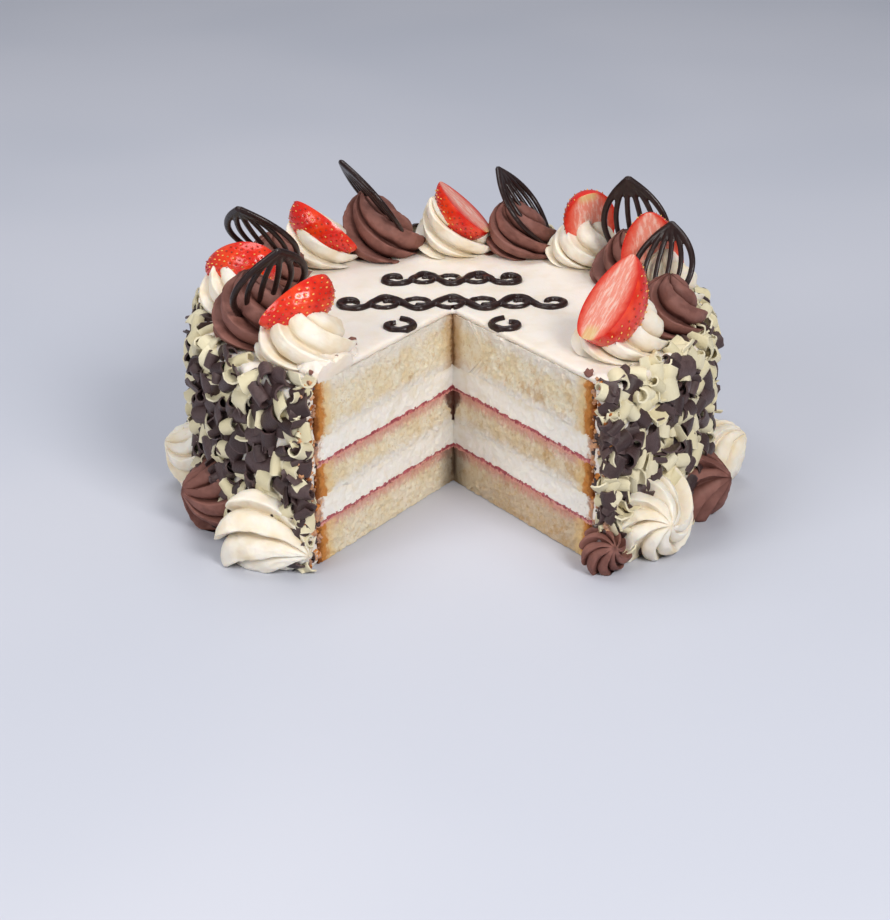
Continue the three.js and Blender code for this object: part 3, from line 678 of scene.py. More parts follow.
def make_floor():
    material, tree, shader = new_material("pale_floor", Roughness=0.55)
    place = object_place(tree)
    base = patches(tree, place, 0.5, srgb(204, 206, 216), srgb(198, 201, 212))
    feed(tree, shader, Base_Color=base.outputs["Color"])
    return material


# ---- the cake: layers ----

def make_knife():
    """The wedge of air that the slice left, as a cutter."""
    knife = start(bpy.ops.mesh.primitive_circle_add, "knife", vertices=3, fill_type="NGON")
    beyond = 3 * CUT_RADIUS
    corners = (APEX, APEX + CUT_LEFT_ALONG * beyond, APEX + CUT_RIGHT_ALONG * beyond)
    for vertex, corner in zip(knife.data.vertices, corners):
        vertex.co = corner - Vector((0, 0, CAKE_HEIGHT))
    edit()
    bpy.ops.mesh.select_all(action="SELECT")
    bpy.ops.mesh.extrude_region_move(TRANSFORM_OT_translate={"value": (0, 0, 4 * CAKE_HEIGHT)})
    bpy.ops.mesh.select_all(action="SELECT")
    bpy.ops.mesh.normals_make_consistent(inside=False)
    done()
    knife.hide_render = True
    return knife


def cut_out_slice(piece, knife):
    apply(piece, "BOOLEAN", object=knife, operation="DIFFERENCE", solver="EXACT")


def on_cut(centre, normal, face_normal, slack=0.3 * MM):
    return normal.dot(face_normal) > 0.98 and abs((centre - APEX).dot(face_normal)) < slack


def refine_cut_faces(piece, height, cell=CELL):
    """Divides the two cut faces into small square facets, and groups their vertices."""
    edit()
    for along, facing in ((CUT_LEFT_ALONG, CUT_LEFT_FACE), (CUT_RIGHT_ALONG, CUT_RIGHT_FACE)):
        def test(face):
            return on_cut(face.calc_center_median(), face.normal, facing)
        for step in range(1, int(CUT_RADIUS * 1.1 / height) + 1):
            choose(piece, test, "FACE")
            bpy.ops.mesh.bisect(plane_co=APEX + along * height * step, plane_no=along)
        choose(piece, test, "FACE")
        bpy.ops.mesh.subdivide(number_cuts=max(1, round(height / cell) - 1))
    choose(piece, lambda face: len(face.verts) > 4, "FACE")
    bpy.ops.mesh.quads_convert_to_tris(ngon_method="BEAUTY")
    done()
    group = piece.vertex_groups.new(name="cut")
    on_face = [v.index for v in piece.data.vertices if any(
        abs((v.co - APEX).dot(n)) < 0.02 * MM and (v.co - APEX).dot(a) > -0.02 * MM
        for a, n in ((CUT_LEFT_ALONG, CUT_LEFT_FACE), (CUT_RIGHT_ALONG, CUT_RIGHT_FACE)))]
    group.add(on_face, 1, "REPLACE")


def make_layer(name, knife, spread, material, slot, ruffles):
    """One round layer with its slice cut out; it reaches a little into its neighbours."""
    low, high = (corner.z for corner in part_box(name))
    low = max(0, low - spread)
    high += spread
    disc = start(bpy.ops.mesh.primitive_cylinder_add, name + "_layer", vertices=128,
                 radius=SPONGE_RADIUS, depth=high - low, location=(0, 0, (low + high) / 2))
    bpy.ops.object.transform_apply(location=True, rotation=True, scale=True)
    cut_out_slice(disc, knife)
    refine_cut_faces(disc, high - low)
    for kind, size, depth, level in ruffles:
        ruffle(disc, size, depth, kind, "cut", level=level)
    smooth(disc, 40)
    return settle(disc, material, slot, name)


def make_layers(knife, materials):
    crumb = (("CLOUDS", 7 * MM, 1.1 * MM, 0.5), ("VORONOI", 2.4 * MM, 1.5 * MM, 0.45),
             ("CLOUDS", 1.2 * MM, 1.2 * MM, 0.45))
    dragged = (("CLOUDS", 5 * MM, 1.2 * MM, 0.5), ("CLOUDS", 1.8 * MM, 1.0 * MM, 0.5))
    seeping = (("CLOUDS", 3 * MM, 1.6 * MM, 0.5), ("CLOUDS", 1 * MM, 1.0 * MM, 0.5))
    for name in ("sponge_bottom", "sponge_middle", "sponge_top"):
        make_layer(name, knife, 0.2 * MM, materials["sponge"], "sponge", crumb)
    for name in ("cream_lower", "cream_upper"):
        make_layer(name, knife, 0.5 * MM, materials["filling"], "cream", dragged)
    for name in ("jam_lower", "jam_upper"):
        make_layer(name, knife, 0.2 * MM, materials["jam"], "jam", seeping)


# ---- the cake: coat of buttercream ----

def make_coat(knife, material):
    coat = start(bpy.ops.mesh.primitive_cylinder_add, "coat_of_buttercream", vertices=180,
                 radius=COAT_RADIUS, depth=CAKE_HEIGHT, location=(0, 0, CAKE_HEIGHT / 2))
    bpy.ops.object.transform_apply(location=True, rotation=True, scale=True)
    edit()
    choose(coat, lambda edge: all(v.co.z > CAKE_HEIGHT - MM for v in edge.verts), "EDGE")
    bpy.ops.mesh.bevel(offset=COAT_SHOULDER, segments=5, profile=0.5)
    done()
    core = start(bpy.ops.mesh.primitive_cylinder_add, "core", vertices=128,
                 radius=SPONGE_RADIUS + 0.1 * MM, depth=SPONGE_TOP * 2, location=(0, 0, 0))
    bpy.ops.object.transform_apply(location=True, rotation=True, scale=True)
    apply(coat, "BOOLEAN", object=core, operation="DIFFERENCE", solver="EXACT")
    bpy.data.objects.remove(core)
    cut_out_slice(coat, knife)
    apply(coat, "REMESH", mode="VOXEL", voxel_size=1.6 * MM)
    side = coat.vertex_groups.new(name="side")
    for vertex in coat.data.vertices:
        reach = vertex.co.xy.length
        weight = min(1, max(0, (reach - 108 * MM) / (8 * MM)))
        if weight:
            side.add([vertex.index], weight, "REPLACE")
    ruffle(coat, 11 * MM, 4 * MM, group="side")
    ruffle(coat, 4 * MM, 1.5 * MM, group="side")
    ruffle(coat, 30 * MM, 1.0 * MM, level=0.6)
    # no painted crease shade on the coat
    keep(coat, "hollow", [0.0] * len(coat.data.vertices))
    smooth(coat)
    return settle(coat, material, "coat", "icing")


# ---- chocolate curls ----

def make_curl_shape(kind, draw):
    """One shaving: a strip bent round, tighter towards its end, and thickened. Its hollow
    side looks down, -Z."""
    width, radius, turn, tighten = kind
    strip = start(bpy.ops.mesh.primitive_grid_add, "curl_shape", x_subdivisions=1,
                  y_subdivisions=2, size=width * MM)
    edit()
    choose(strip, lambda vertex: vertex.co.x > 0)
    bpy.ops.mesh.delete(type="VERT")
    choose(strip, lambda vertex: abs(vertex.co.y) < MM)
    bpy.ops.transform.translate(value=(0.5 * MM, 0, 0))
    bpy.ops.mesh.select_all(action="SELECT")
    bpy.ops.transform.translate(value=((width / 2 + radius) * MM, 0, 0))
    steps = max(5, round(turn / 26))
    outline = [0.72, 0.93] + [draw.uniform(0.95, 1.05) for _ in range(steps - 2)] + [0.78]
    resize(1, outline[0], 1)
    for before, after in zip(outline, outline[1:]):
        bpy.ops.mesh.extrude_region_move(TRANSFORM_OT_translate={"value": (0, 0, 0)})
        swing(turn / steps, "Y")
        shrink = tighten ** (1 / steps)
        resize(shrink, after / before, shrink)
    bpy.ops.mesh.select_all(action="SELECT")
    swing(-90 - turn / 2, "Y")
    bpy.ops.mesh.normals_make_consistent(inside=False)
    done()
    middle = sum((v.co for v in strip.data.vertices), Vector()) / len(strip.data.vertices)
    for vertex in strip.data.vertices:
        vertex.co -= middle
        vertex.co += Vector([draw.uniform(-1, 1) for _ in range(3)]) * 0.12 * MM
    widest = max(abs(v.co.y) for v in strip.data.vertices)
    # edge marks the strip's borders, where the curl material paints highlight mixed with bloom
    keep(strip, "edge", [1.0 if abs(v.co.y) > 0.35 * widest else 0.0 for v in
                         strip.data.vertices])
    apply(strip, "SOLIDIFY", thickness=0.9 * MM, offset=0)
    return strip


def scatter(name, shapes, places, material, slot="coat"):
    """One mesh of many copies: each place gives a shape, a matrix and a tone."""
    points = []
    faces = []
    tones = []
    edges = []
    for shape, matrix, tone in places:
        base = len(points)
        mesh = shapes[shape].data
        points += [matrix @ v.co for v in mesh.vertices]
        faces += [[base + i for i in p.vertices] for p in mesh.polygons]
        tones += [tone] * len(mesh.vertices)
        if "edge" in mesh.attributes:
            edges += [d.value for d in mesh.attributes["edge"].data]
    mesh = bpy.data.meshes.new(name)
    mesh.from_pydata(points, [], faces)
    piece = bpy.data.objects.new(name, mesh)
    bpy.context.collection.objects.link(piece)
    keep(piece, "tone", tones)
    if edges:
        keep(piece, "edge", edges)
    smooth(piece, 60)
    return settle(piece, material, slot)


def dark_share(angle, height):
    """The share of dark curls at a place on the side, as in a hand-thrown mix."""
    if angle < -40:
        share = 0.8
    elif angle < 0:
        share = 0.7
    elif angle < 90:
        share = 0.5
    else:
        share = 0.6
    if height > 76 * MM:
        share -= 0.25
    return share


def side_point(angle, climb, lift):
    """A place on the side: climb is measured up the side and on over the shoulder. Gives the
    point, lift out from the coat, and the direction out of the coat."""
    bend = max(0, climb - CURL_HIGH) / CURL_BEND
    out = outward(angle)
    direction = out * math.cos(bend) + Vector((0, 0, math.sin(bend)))
    centre = out * (COAT_RADIUS - CURL_BEND) + Vector((0, 0, min(climb, CURL_HIGH)))
    return centre + direction * (CURL_BEND + lift), direction


def spread(draw, apart):
    """Places on the side, as angle and climb, none nearer to another than a given distance."""
    cells = {}
    spots = []
    run = math.radians(360 + CUT_LEFT - CUT_RIGHT) * COAT_RADIUS
    for _ in range(40000):
        x, z = draw.uniform(0, run), draw.uniform(CURL_LOW, CURL_HIGH + 1.3 * CURL_BEND)
        cell = (int(x / apart), int(z / apart))
        near = [spot for i in (-1, 0, 1) for j in (-1, 0, 1)
                for spot in cells.get((cell[0] + i, cell[1] + j), ())]
        if all((x - a) ** 2 + (z - b) ** 2 > apart ** 2 for a, b in near):
            cells.setdefault(cell, []).append((x, z))
            angle = CUT_RIGHT + math.degrees(x / COAT_RADIUS)
            spots.append((angle if angle <= 180 else angle - 360, z))
    return spots


def strewn(draw, point, direction, size, spread_out=0.3):
    """Where a curl or crumb lies: on a point, its hollow side mostly to the cake, turned."""
    tilt = Euler((draw.gauss(0, spread_out), draw.gauss(0, spread_out),
                  draw.uniform(0, 2 * math.pi)))
    if draw.random() < 0.25:
        tilt.rotate(Euler((math.pi * draw.uniform(0.5, 1), 0, 0)))
    face = direction.to_track_quat("Z", "Y").to_matrix()
    return (Matrix.Translation(point) @ (face @ tilt.to_matrix()).to_4x4()
            @ Matrix.Scale(size, 4))


def curl_places(draw):
    """Curls all over the side in two layers, dark or pale, and broken ones at the cuts."""
    places = {"dark": [], "pale": []}
    for lift, apart in CURL_LAYERS:
        for angle, climb in spread(draw, apart * MM):
            point, direction = side_point(angle, climb, (lift + draw.uniform(-0.7, 0.7)) * MM)
            matrix = strewn(draw, point, direction, draw.uniform(0.82, 1.06))
            kind = "dark" if draw.random() < dark_share(angle, climb) else "pale"
            places[kind].append((draw.randrange(len(CURL_KINDS)), matrix, draw.random()))
    for along, facing in ((CUT_LEFT_ALONG, CUT_LEFT_FACE), (CUT_RIGHT_ALONG, CUT_RIGHT_FACE)):
        for k in range(BROKEN_CURLS):
            reach = SPONGE_RADIUS + draw.uniform(3, 10) * MM
            height = CURL_LOW + (CAKE_HEIGHT - 2 * CURL_LOW) * ((k * 0.618034) % 1)
            point = APEX + along * reach - facing * draw.uniform(0.2, 2.5) * MM
            point.z = height
            matrix = strewn(draw, point, facing + along, draw.uniform(0.4, 0.75), 0.6)
            kind = "dark" if draw.random() < 0.5 else "pale"
            places[kind].append((draw.randrange(len(CURL_KINDS)), matrix, draw.random()))
    return places


def make_crumbs(materials):
    """Crumbs of crust, sponge and cream dragged over the coat where the knife went."""
    draw = random.Random(31)
    shapes = []
    for k in range(4):
        crumb = start(bpy.ops.mesh.primitive_ico_sphere_add, "crumb_shape", subdivisions=2,
                      radius=1 * MM)
        for vertex in crumb.data.vertices:
            vertex.co *= draw.uniform(0.6, 1.25)
        shapes.append(crumb)
    places = {"cream_crumbs": [], "crust_crumbs": [], "chocolate_crumbs": []}
    kinds = ("cream_crumbs",) * 5 + ("crust_crumbs",) * 2 + ("chocolate_crumbs",) * 2
    for along, facing in ((CUT_LEFT_ALONG, CUT_LEFT_FACE), (CUT_RIGHT_ALONG, CUT_RIGHT_FACE)):
        for k in range(260):
            point = APEX + along * (SPONGE_RADIUS + draw.uniform(-3, 9) * MM)
            point -= facing * draw.uniform(-0.3, 1.2) * MM
            point.z = draw.uniform(1 * MM, CAKE_HEIGHT)
            size = draw.uniform(0.5, 1.7)
            places[draw.choice(kinds)].append(
                (draw.randrange(4), strewn(draw, point, facing, size), draw.random()))
    flecks = []
    for angle, reach, up, size in FLECKS:
        point = outward(angle) * reach * MM + Vector((0, 0, CAKE_HEIGHT + up * MM))
        flecks.append((draw.randrange(4), strewn(draw, point, Vector((0, 0, 1)), size, 0.2), 0.2))
    scatter("chocolate_flecks", shapes, flecks, materials["chocolate"])
    scatter("cream_crumbs", shapes, places["cream_crumbs"], materials["filling"])
    scatter("crust_crumbs", shapes, places["crust_crumbs"], materials["crust"])
    scatter("chocolate_crumbs", shapes, places["chocolate_crumbs"], materials["dark_curl"])
    for shape in shapes:
        bpy.data.objects.remove(shape)


def make_smear(knife, material):
    """Cream that the knife dragged from the first rosette to the cut, torn off there."""
    lumps = []
    for angle, reach, length, width, height, turn in SMEARS:
        lump = start(bpy.ops.mesh.primitive_uv_sphere_add, "lump", segments=32, ring_count=16,
                     radius=MM)
        place = Matrix.Translation(outward(angle) * reach * MM + Vector((0, 0, CAKE_HEIGHT)))
        lump.data.transform(place @ Matrix.Rotation(math.radians(turn), 4, "Z")
                            @ Matrix.Diagonal((width, length, height, 1)))
        lumps.append(lump)
    smear = join(lumps, "dragged_cream")
    apply(smear, "REMESH", mode="VOXEL", voxel_size=0.8 * MM)
    ruffle(smear, 6 * MM, 4 * MM)
    ruffle(smear, 1.8 * MM, 1.4 * MM)
    cut_out_slice(smear, knife)
    smooth(smear, 50)
    return settle(smear, material, "coat")


def make_curls(materials):
    draw = random.Random(5)
    shapes = [make_curl_shape(kind, draw) for kind in CURL_KINDS]
    places = curl_places(draw)
    scatter("dark_curls", shapes, places["dark"], materials["dark_curl"])
    scatter("pale_curls", shapes, places["pale"], materials["pale_curl"])
    for shape in shapes:
        bpy.data.objects.remove(shape)


# ---- rosettes ----

def make_rosette(name, folds, size, tall, turn, lean, twist):
    """A rosette piped through a star nozzle, upright on the origin: its folds, no two alike,
    wind up to a peak, which lean carries to one side."""
    draw = random.Random(name)
    radius, height = ROSETTE_RADIUS * size, ROSETTE_HEIGHT * size * tall
    corners = len(FOLD_SECTION)
    piece = start(bpy.ops.mesh.primitive_circle_add, name, vertices=folds * corners,
                  radius=radius, fill_type="NGON")
    edit()
    foot = ROSETTE_PROFILE[0][1]
    for k, (share, reach) in enumerate(FOLD_SECTION):
        choose(piece, lambda vertex: vertex.index % corners == k)
        resize(reach * foot, reach * foot, 1)
        swing((share - k / corners) * 360 / folds)
    for fold in range(folds):
        choose(piece, lambda vertex: vertex.index // corners == fold)
        ratio = draw.uniform(0.9, 1.08)
        resize(ratio, ratio, 1)
        swing(draw.uniform(-36, 36) / folds)
    bpy.ops.mesh.select_all(action="SELECT")
    swing(turn)
    for (h0, r0), (h1, r1) in zip(ROSETTE_PROFILE, ROSETTE_PROFILE[1:]):
        step = lean * height * (h1 ** 2 - h0 ** 2) + Vector((0, 0, height * (h1 - h0)))
        bpy.ops.mesh.extrude_region_move(TRANSFORM_OT_translate={"value": step})
        centre = lean * height * h1 ** 2 + Vector((0, 0, height * h1))
        resize(r1 / r0, r1 / r0, 1, centre)
        swing(-twist * (h1 ** 0.65 - h0 ** 0.65), "Z", centre)
    bpy.ops.mesh.merge(type="CENTER")
    bpy.ops.mesh.select_all(action="SELECT")
    bpy.ops.mesh.normals_make_consistent(inside=False)
    done()
    # hollow: how deep a point lies in a crease, where the cream materials paint shade
    ratios = [fold_ratio(v.co, radius, height, lean) for v in piece.data.vertices]
    keep(piece, "hollow", [min(1, max(0, (0.9 - ratio) / 0.25)) for ratio in ratios])
    lips = piece.vertex_groups.new(name="lips")
    for index, ratio in enumerate(ratios):
        if ratio > 0.98 and piece.data.vertices[index].co.z > 0.1 * height:
            lips.add([index], 1, "REPLACE")
    apply(piece, "SUBSURF", levels=2, render_levels=2)
    ruffle(piece, 13 * MM, 2.6 * MM)
    ruffle(piece, 2.2 * MM, 1.1 * MM, group="lips")
    smooth(piece)
    return piece


def fold_ratio(point, radius, height, lean):
    """How far out a point of a rosette lies, as a share of its reach at that height."""
    share = min(1, max(0, point.z / height))
    for (h0, r0), (h1, r1) in zip(ROSETTE_PROFILE, ROSETTE_PROFILE[1:]):
        if share <= h1 + 1e-6:
            reach = r0 + (r1 - r0) * (share - h0) / (h1 - h0)
            break
    spine = lean * height * share ** 2
    return (point.xy - spine.xy).length / (radius * max(reach, 0.1))


def ring_names(prefix, spots):
    for i, spot in enumerate(spots):
        flavour = "chocolate" if i % 2 else "cream"
        yield f"{prefix}{flavour}_rosette_{i // 2 + 1}", flavour, spot


def settle_rosette(piece, flavour, materials, node):
    slot = "cream" if flavour == "cream" else "chocolate_cream"
    settle(piece, materials[flavour], slot, node)


def make_top_rosettes(materials):
    for node, flavour, spot in ring_names("", TOP_RING):
        angle, reach, size, tall, turn, way, far, twist = spot
        piece = make_rosette("piped_" + node, FOLDS, size, tall, turn, outward(way) * far,
                             twist)
        foot = outward(angle) * reach * MM + Vector((0, 0, CAKE_HEIGHT - 0.6 * MM))
        piece.data.transform(Matrix.Translation(foot))
        settle_rosette(piece, flavour, materials, node)


def make_foot_rosettes(materials):
    for node, flavour, spot in ring_names("foot_", FOOT_RING):
        angle, reach, rise, size, tall, way, tip, turn, twist = spot
        piece = make_rosette("piped_" + node, FOOT_FOLDS, size, tall, turn, Vector((0, 0, 0)),
                             twist)
        tipped = Matrix.Rotation(math.radians(way), 4, "Z") @ Matrix.Rotation(
            math.radians(tip), 4, "X")
        foot = outward(angle) * reach * MM + Vector((0, 0, rise * MM))
        piece.data.transform(Matrix.Translation(foot) @ tipped)
        settle_rosette(piece, flavour, materials, node)


# ---- strawberry halves ----

def berry_reach(share):
    """The strawberry's half width at a share of its length, as a share of its widest."""
    for (t0, r0), (t1, r1) in zip(BERRY_PROFILE, BERRY_PROFILE[1:]):
        if share <= t1:
            return r0 + (r1 - r0) * max(0, share - t0) / (t1 - t0)
    return BERRY_PROFILE[-1][1]


def make_berry_half(name, size, deep):
    """Half a strawberry, its cut face at local Z = 0 and its tip along +Y."""
    length, half, depth = BERRY_LENGTH * size, BERRY_WIDTH * size / 2, BERRY_DEPTH * size * deep
    piece = start(bpy.ops.mesh.primitive_circle_add, name, vertices=16,
                  radius=half * BERRY_PROFILE[0][1], fill_type="NGON",
                  location=(0, 0, BERRY_PROFILE[0][0] * length))
    bpy.ops.object.transform_apply(location=True, rotation=True, scale=True)
    edit()
    bpy.ops.mesh.select_all(action="SELECT")
    for (t0, r0), (t1, r1) in zip(BERRY_PROFILE, BERRY_PROFILE[1:]):
        bpy.ops.mesh.extrude_region_move(
            TRANSFORM_OT_translate={"value": (0, 0, (t1 - t0) * length)})
        resize(r1 / r0, r1 / r0, 1, (0, 0, t1 * length))
    bpy.ops.mesh.extrude_region_move(TRANSFORM_OT_translate={"value": (0, 0, 0.012 * length)})
    bpy.ops.mesh.merge(type="CENTER")
    bpy.ops.mesh.select_all(action="SELECT")
    swing(-90, "X")
    resize(1, 1, depth / half)
    bpy.ops.mesh.normals_make_consistent(inside=False)
    done()
    apply(piece, "SUBSURF", levels=3, render_levels=3)
    edit()
    bpy.ops.mesh.select_all(action="SELECT")
    bpy.ops.mesh.bisect(plane_co=(0, 0, -CUT_CLEAR), plane_no=(0, 0, 1), threshold=1e-7,
                        clear_outer=True, use_fill=True)
    choose(piece, lambda face: face.normal.z > 0.99 and len(face.verts) > 8, "FACE")
    for ratio in (0.96, 0.93, 0.88, 0.8, 0.7, 0.55):
        bpy.ops.mesh.extrude_region_move(TRANSFORM_OT_translate={"value": (0, 0, 0)})
        resize(ratio, ratio, 1)
    bpy.ops.mesh.poke()
    done()
    return piece


def seed_spots(size, deep):
    """Places of the seeds on the skin, evenly spread, with the skin's direction there."""
    length, half, depth = BERRY_LENGTH * size, BERRY_WIDTH * size / 2, BERRY_DEPTH * size * deep
    spots = []
    for k in range(SEED_COUNT):
        share = -0.46 + 0.93 * (k + 0.5) / SEED_COUNT
        angle = math.radians(8 + 164 * ((k * 0.618034) % 1))
        reach = berry_reach(share)
        point = Vector((reach * half * math.cos(angle), share * length,
                        -reach * depth * math.sin(angle)))
        normal = Vector((math.cos(angle) / half, -0.35 * share / length * 4,
                         -math.sin(angle) / depth)).normalized()
        if reach > 0.3:
            spots.append((point, normal))
    return spots


def dent(piece, spots):
    """A shallow dimple round each seed."""
    tree = kdtree.KDTree(len(spots))
    for i, (point, _) in enumerate(spots):
        tree.insert(point, i)
    tree.balance()
    for vertex in piece.data.vertices:
        _, index, gap = tree.find(vertex.co)
        if gap < DIMPLE:
            vertex.co -= spots[index][1] * DIMPLE_DEPTH * (1 - (gap / DIMPLE) ** 2) ** 2


def make_berries(materials):
    seed = start(bpy.ops.mesh.primitive_uv_sphere_add, "seed_shape", segments=8, ring_count=6,
                 radius=0.5)
    draw = random.Random(8)
    places = []
    for i, (at, tip, face, size, deep) in enumerate(BERRIES):
        node = f"strawberry_half_{i + 1}"
        piece = make_berry_half("cut_" + node, size, deep)
        spots = seed_spots(size, deep)
        dent(piece, spots)
        keep_own_place(piece)
        half, length = BERRY_WIDTH * size / 2, BERRY_LENGTH * size
        keep(piece, "rim", [abs(v.co.x) / (half * berry_reach(v.co.y / length))
                            for v in piece.data.vertices])
        smooth(piece, 50)
        place = place_on(TOP_RING[2 * i], at, tip, face)
        piece.data.transform(place)
        settle(piece, materials["strawberry"], "strawberry", node)
        for point, normal in spots:
            along = (Vector((0, 1, 0)) - normal * normal.y).normalized()
            side = along.cross(normal)
            turn = Matrix((side, along, normal)).transposed().to_4x4()
            shape = Matrix.Diagonal((SEED_LENGTH * 0.6, SEED_LENGTH, SEED_LENGTH * 0.45, 1))
            sunk = point - normal * DIMPLE_DEPTH * 0.8
            places.append((0, place @ Matrix.Translation(sunk) @ turn @ shape, draw.random()))
    scatter("strawberry_seeds", [seed], places, materials["seed"], "strawberry")
    bpy.data.objects.remove(seed)


# ---- lattices and scrolls ----

def make_tube(name, points, radius, widths=None):
    """A round rope of chocolate along a smooth path."""
    rope = start(bpy.ops.curve.primitive_nurbs_path_add, name)
    spline = rope.data.splines[0]
    spline.points.add(len(points) - len(spline.points))
    for i, point in enumerate(points):
        spline.points[i].co = (*point, 1)
        spline.points[i].radius = widths[i] if widths else 1
    spline.order_u = 3
    spline.use_endpoint_u = True
    spline.resolution_u = 3
    rope.data.bevel_depth = radius
    rope.data.bevel_resolution = 3
    rope.data.use_fill_caps = True
    bpy.ops.object.convert(target="MESH")
    return bpy.context.active_object


def join(pieces, name):
    bpy.ops.object.select_all(action="DESELECT")
    for piece in pieces:
        piece.select_set(True)
    bpy.context.view_layer.objects.active = pieces[0]
    bpy.ops.object.join()
    joined = bpy.context.active_object
    joined.name = name
    joined.data.name = name
    return joined


def leaf_reach(share):
    return LEAF_WIDTH / 2 * math.sin(math.pi * min(1, max(0, share)) ** 1.15) ** 0.85


def make_leaf():
    """The lattice, piped flat: a leaf outline with ribs that fan out from its tip."""
    ropes = []
    shares = [i / 12 for i in range(13)]
    for rib in range(LEAF_RIBS):
        across = -1 + 2 * rib / (LEAF_RIBS - 1)
        points = [(across * leaf_reach(t), t * LEAF_LENGTH, 0) for t in shares]
        edge = 1.12 if abs(across) == 1 else 0.95
        widths = [edge * (0.9 + 0.25 * t) for t in shares]
        ropes.append(make_tube("rib", points, RIB_RADIUS, widths))
    pool = start(bpy.ops.mesh.primitive_uv_sphere_add, "pool", segments=16, ring_count=10,
                 radius=1, location=(0, LEAF_LENGTH * 0.93, 0),
                 scale=(3.2 * MM, 5.5 * MM, RIB_RADIUS))
    bpy.ops.object.transform_apply(location=True, rotation=True, scale=True)
    leaf = join([*ropes, pool], "leaf_shape")
    apply(leaf, "REMESH", mode="VOXEL", voxel_size=0.55 * MM)
    apply(leaf, "SMOOTH", factor=0.5, iterations=3)
    edit()
    bpy.ops.mesh.select_all(action="SELECT")
    resize(1, 1, 0.8)
    done()
    return leaf


def make_lattices(materials):
    leaf = make_leaf()
    for i, (at, tip, face, size) in enumerate(LATTICES):
        node = f"chocolate_lattice_{i + 1}"
        piece = bpy.data.objects.new("piped_" + node, leaf.data.copy())
        bpy.context.collection.objects.link(piece)
        piece.data.transform(place_on(TOP_RING[2 * i + 1], at, tip, face)
                             @ Matrix.Scale(size, 4))
        take(piece)
        edit()
        bpy.ops.mesh.select_all(action="SELECT")
        bpy.ops.mesh.bisect(plane_co=(0, 0, CAKE_HEIGHT), plane_no=(0, 0, -1),
                            clear_outer=True, use_fill=True)
        done()
        smooth(piece)
        settle(piece, materials["couverture"], "dark_chocolate", node)
    bpy.data.objects.remove(leaf)


def volute(x, y, radius, begin, turns, steps=16):
    """A line that starts on a circle and curls in, as points on the icing."""
    points = []
    for i in range(steps + 1):
        angle = math.radians(begin + 360 * turns * i / steps)
        reach = radius * (1 - VOLUTE_CLOSES * i / steps)
        points.append((x + reach * math.cos(angle), y + reach * math.sin(angle)))
    return points


def mirrored(points):
    return [(-x, y) for x, y in reversed(points)]


def scroll_row(reach, y, height, arches, radius):
    """A wavy vine that ends in a volute on both sides, with a tendril curled in each arch."""
    steps = arches * 6
    vine = [(reach * (2 * i / steps - 1), y + height * math.sin(math.pi * arches * i / steps))
            for i in range(steps + 1)]
    end = volute(reach + radius, y, radius, 180, VOLUTE_TURNS)[1:]
    lines = [(mirrored(end) + vine + end, 1)]
    half = reach / arches
    for i in range(arches):
        up = 1 if i % 2 == 0 else -1
        lines.append((volute((2 * i + 1) * half - reach, y, half, 180, up * TENDRIL_TURNS), TENDRIL))
    return lines


def make_scrolls(knife, material):
    lines = [line for row in SCROLL_ROWS for line in scroll_row(*row)]
    right = volute(*LAST_VOLUTES, VOLUTE_TURNS)
    lines += [(right, 1), (mirrored(right), 1)]
    ropes = []
    for line, thickness in lines:
        points = [(px * MM, py * MM, CAKE_HEIGHT + 0.5 * MM) for px, py in line]
        widths = [thickness * (0.95 + 0.16 * math.sin(1.7 * i + px)) for i, (px, _) in
                  enumerate(line)]
        widths[0] = widths[-1] = 0.8 * thickness
        ropes.append(make_tube("scroll", points, PIPE_RADIUS, widths))
    scrolls = join(ropes, "piped_scrolls")
    apply(scrolls, "REMESH", mode="VOXEL", voxel_size=0.5 * MM)
    apply(scrolls, "SMOOTH", factor=0.5, iterations=3)
    cut_out_slice(scrolls, knife)
    smooth(scrolls, 60)
    return settle(scrolls, material, "dark_chocolate")


# ---- the studio ----

def make_camera():
    """Looks at the cake from the front and above, nearly level."""
    data = bpy.data.cameras.new("camera")
    data.sensor_width = 36
    data.lens = 93.91
    camera = bpy.data.objects.new("camera", data)
    bpy.context.collection.objects.link(camera)
    look = Euler((math.radians(90 - 23.67), 0, 0)).to_matrix().to_4x4()
    roll = Matrix.Rotation(math.radians(-0.376), 4, "Z")
    camera.matrix_world = Matrix.Translation((-0.00392, -1.1018, 0.49305)) @ look @ roll
    bpy.context.scene.camera = camera


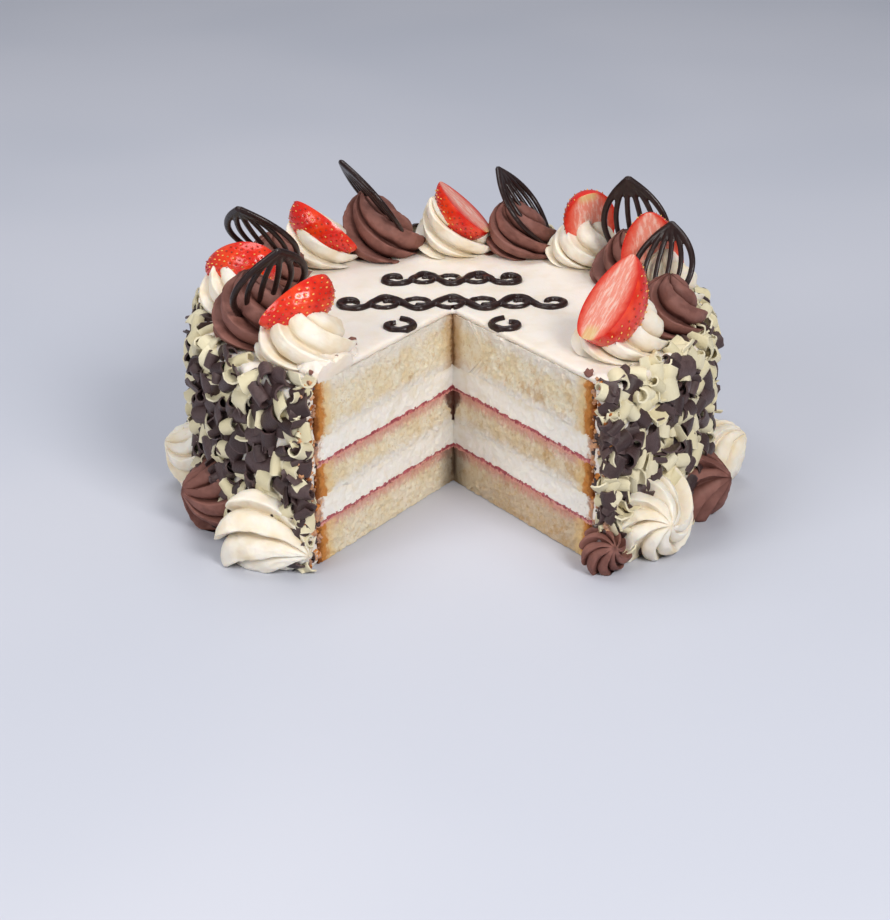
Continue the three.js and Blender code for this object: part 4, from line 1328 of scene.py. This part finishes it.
def make_light(name, place, size, power, colour):
    data = bpy.data.lights.new(name, "AREA")
    data.shape = "RECTANGLE"
    data.size, data.size_y = size
    data.energy = power
    data.color = colour
    light = bpy.data.objects.new(name, data)
    light.location = place
    light.rotation_euler = (Vector((0, 0, 0.05)) - Vector(place)).to_track_quat("-Z", "Y").to_euler()
    bpy.context.collection.objects.link(light)


def make_studio():
    floor = start(bpy.ops.mesh.primitive_plane_add, "floor", size=12)
    floor.data.materials.append(make_floor())
    world = bpy.data.worlds.new("studio")
    world.use_nodes = True
    background = world.node_tree.nodes["Background"]
    background.inputs["Color"].default_value = (0.86, 0.9, 1, 1)
    background.inputs["Strength"].default_value = 0.25
    bpy.context.scene.world = world
    make_light("key", (0.75, -1.2, 1.15), (0.6, 0.6), 21, (1, 0.98, 0.95))
    make_light("fill", (-1.1, -1.0, 0.9), (0.8, 0.8), 11, (1, 0.98, 0.95))
    make_light("top", (-0.2, 0.4, 1.5), (1.2, 0.8), 10, (0.97, 0.98, 1))
    bpy.context.scene.view_settings.view_transform = "Standard"


def main():
    materials = {
        # a buttercream's second colour is a second tone of its patches and its painted shade in
        # creases
        "cream": make_buttercream("buttercream", srgb(240, 233, 220), srgb(228, 211, 180)),
        "coat": make_buttercream("coat_cream", srgb(238, 229, 219), srgb(232, 219, 201)),
        "chocolate": make_chocolate_cream(),
        "sponge": make_sponge(),
        "crust": make_crust(),
        "filling": make_filling(),
        "jam": make_jam(),
        # a curl's second colour is its bloom and the painted highlight on its edges
        "dark_curl": make_curl("dark_curl", srgb(50, 31, 30), srgb(106, 85, 84), 0.42),
        "pale_curl": make_curl("pale_curl", srgb(219, 207, 168), srgb(233, 226, 203), 0.45),
        "couverture": make_couverture(),
        "strawberry": make_strawberry(),
        "seed": make_seed(),
    }
    make_camera()
    make_studio()
    knife = make_knife()
    make_layers(knife, materials)
    make_coat(knife, materials["coat"])
    make_scrolls(knife, materials["couverture"])
    make_smear(knife, materials["coat"])
    bpy.data.objects.remove(knife)
    make_top_rosettes(materials)
    make_foot_rosettes(materials)
    make_berries(materials)
    make_lattices(materials)
    make_curls(materials)
    make_crumbs(materials)


main()
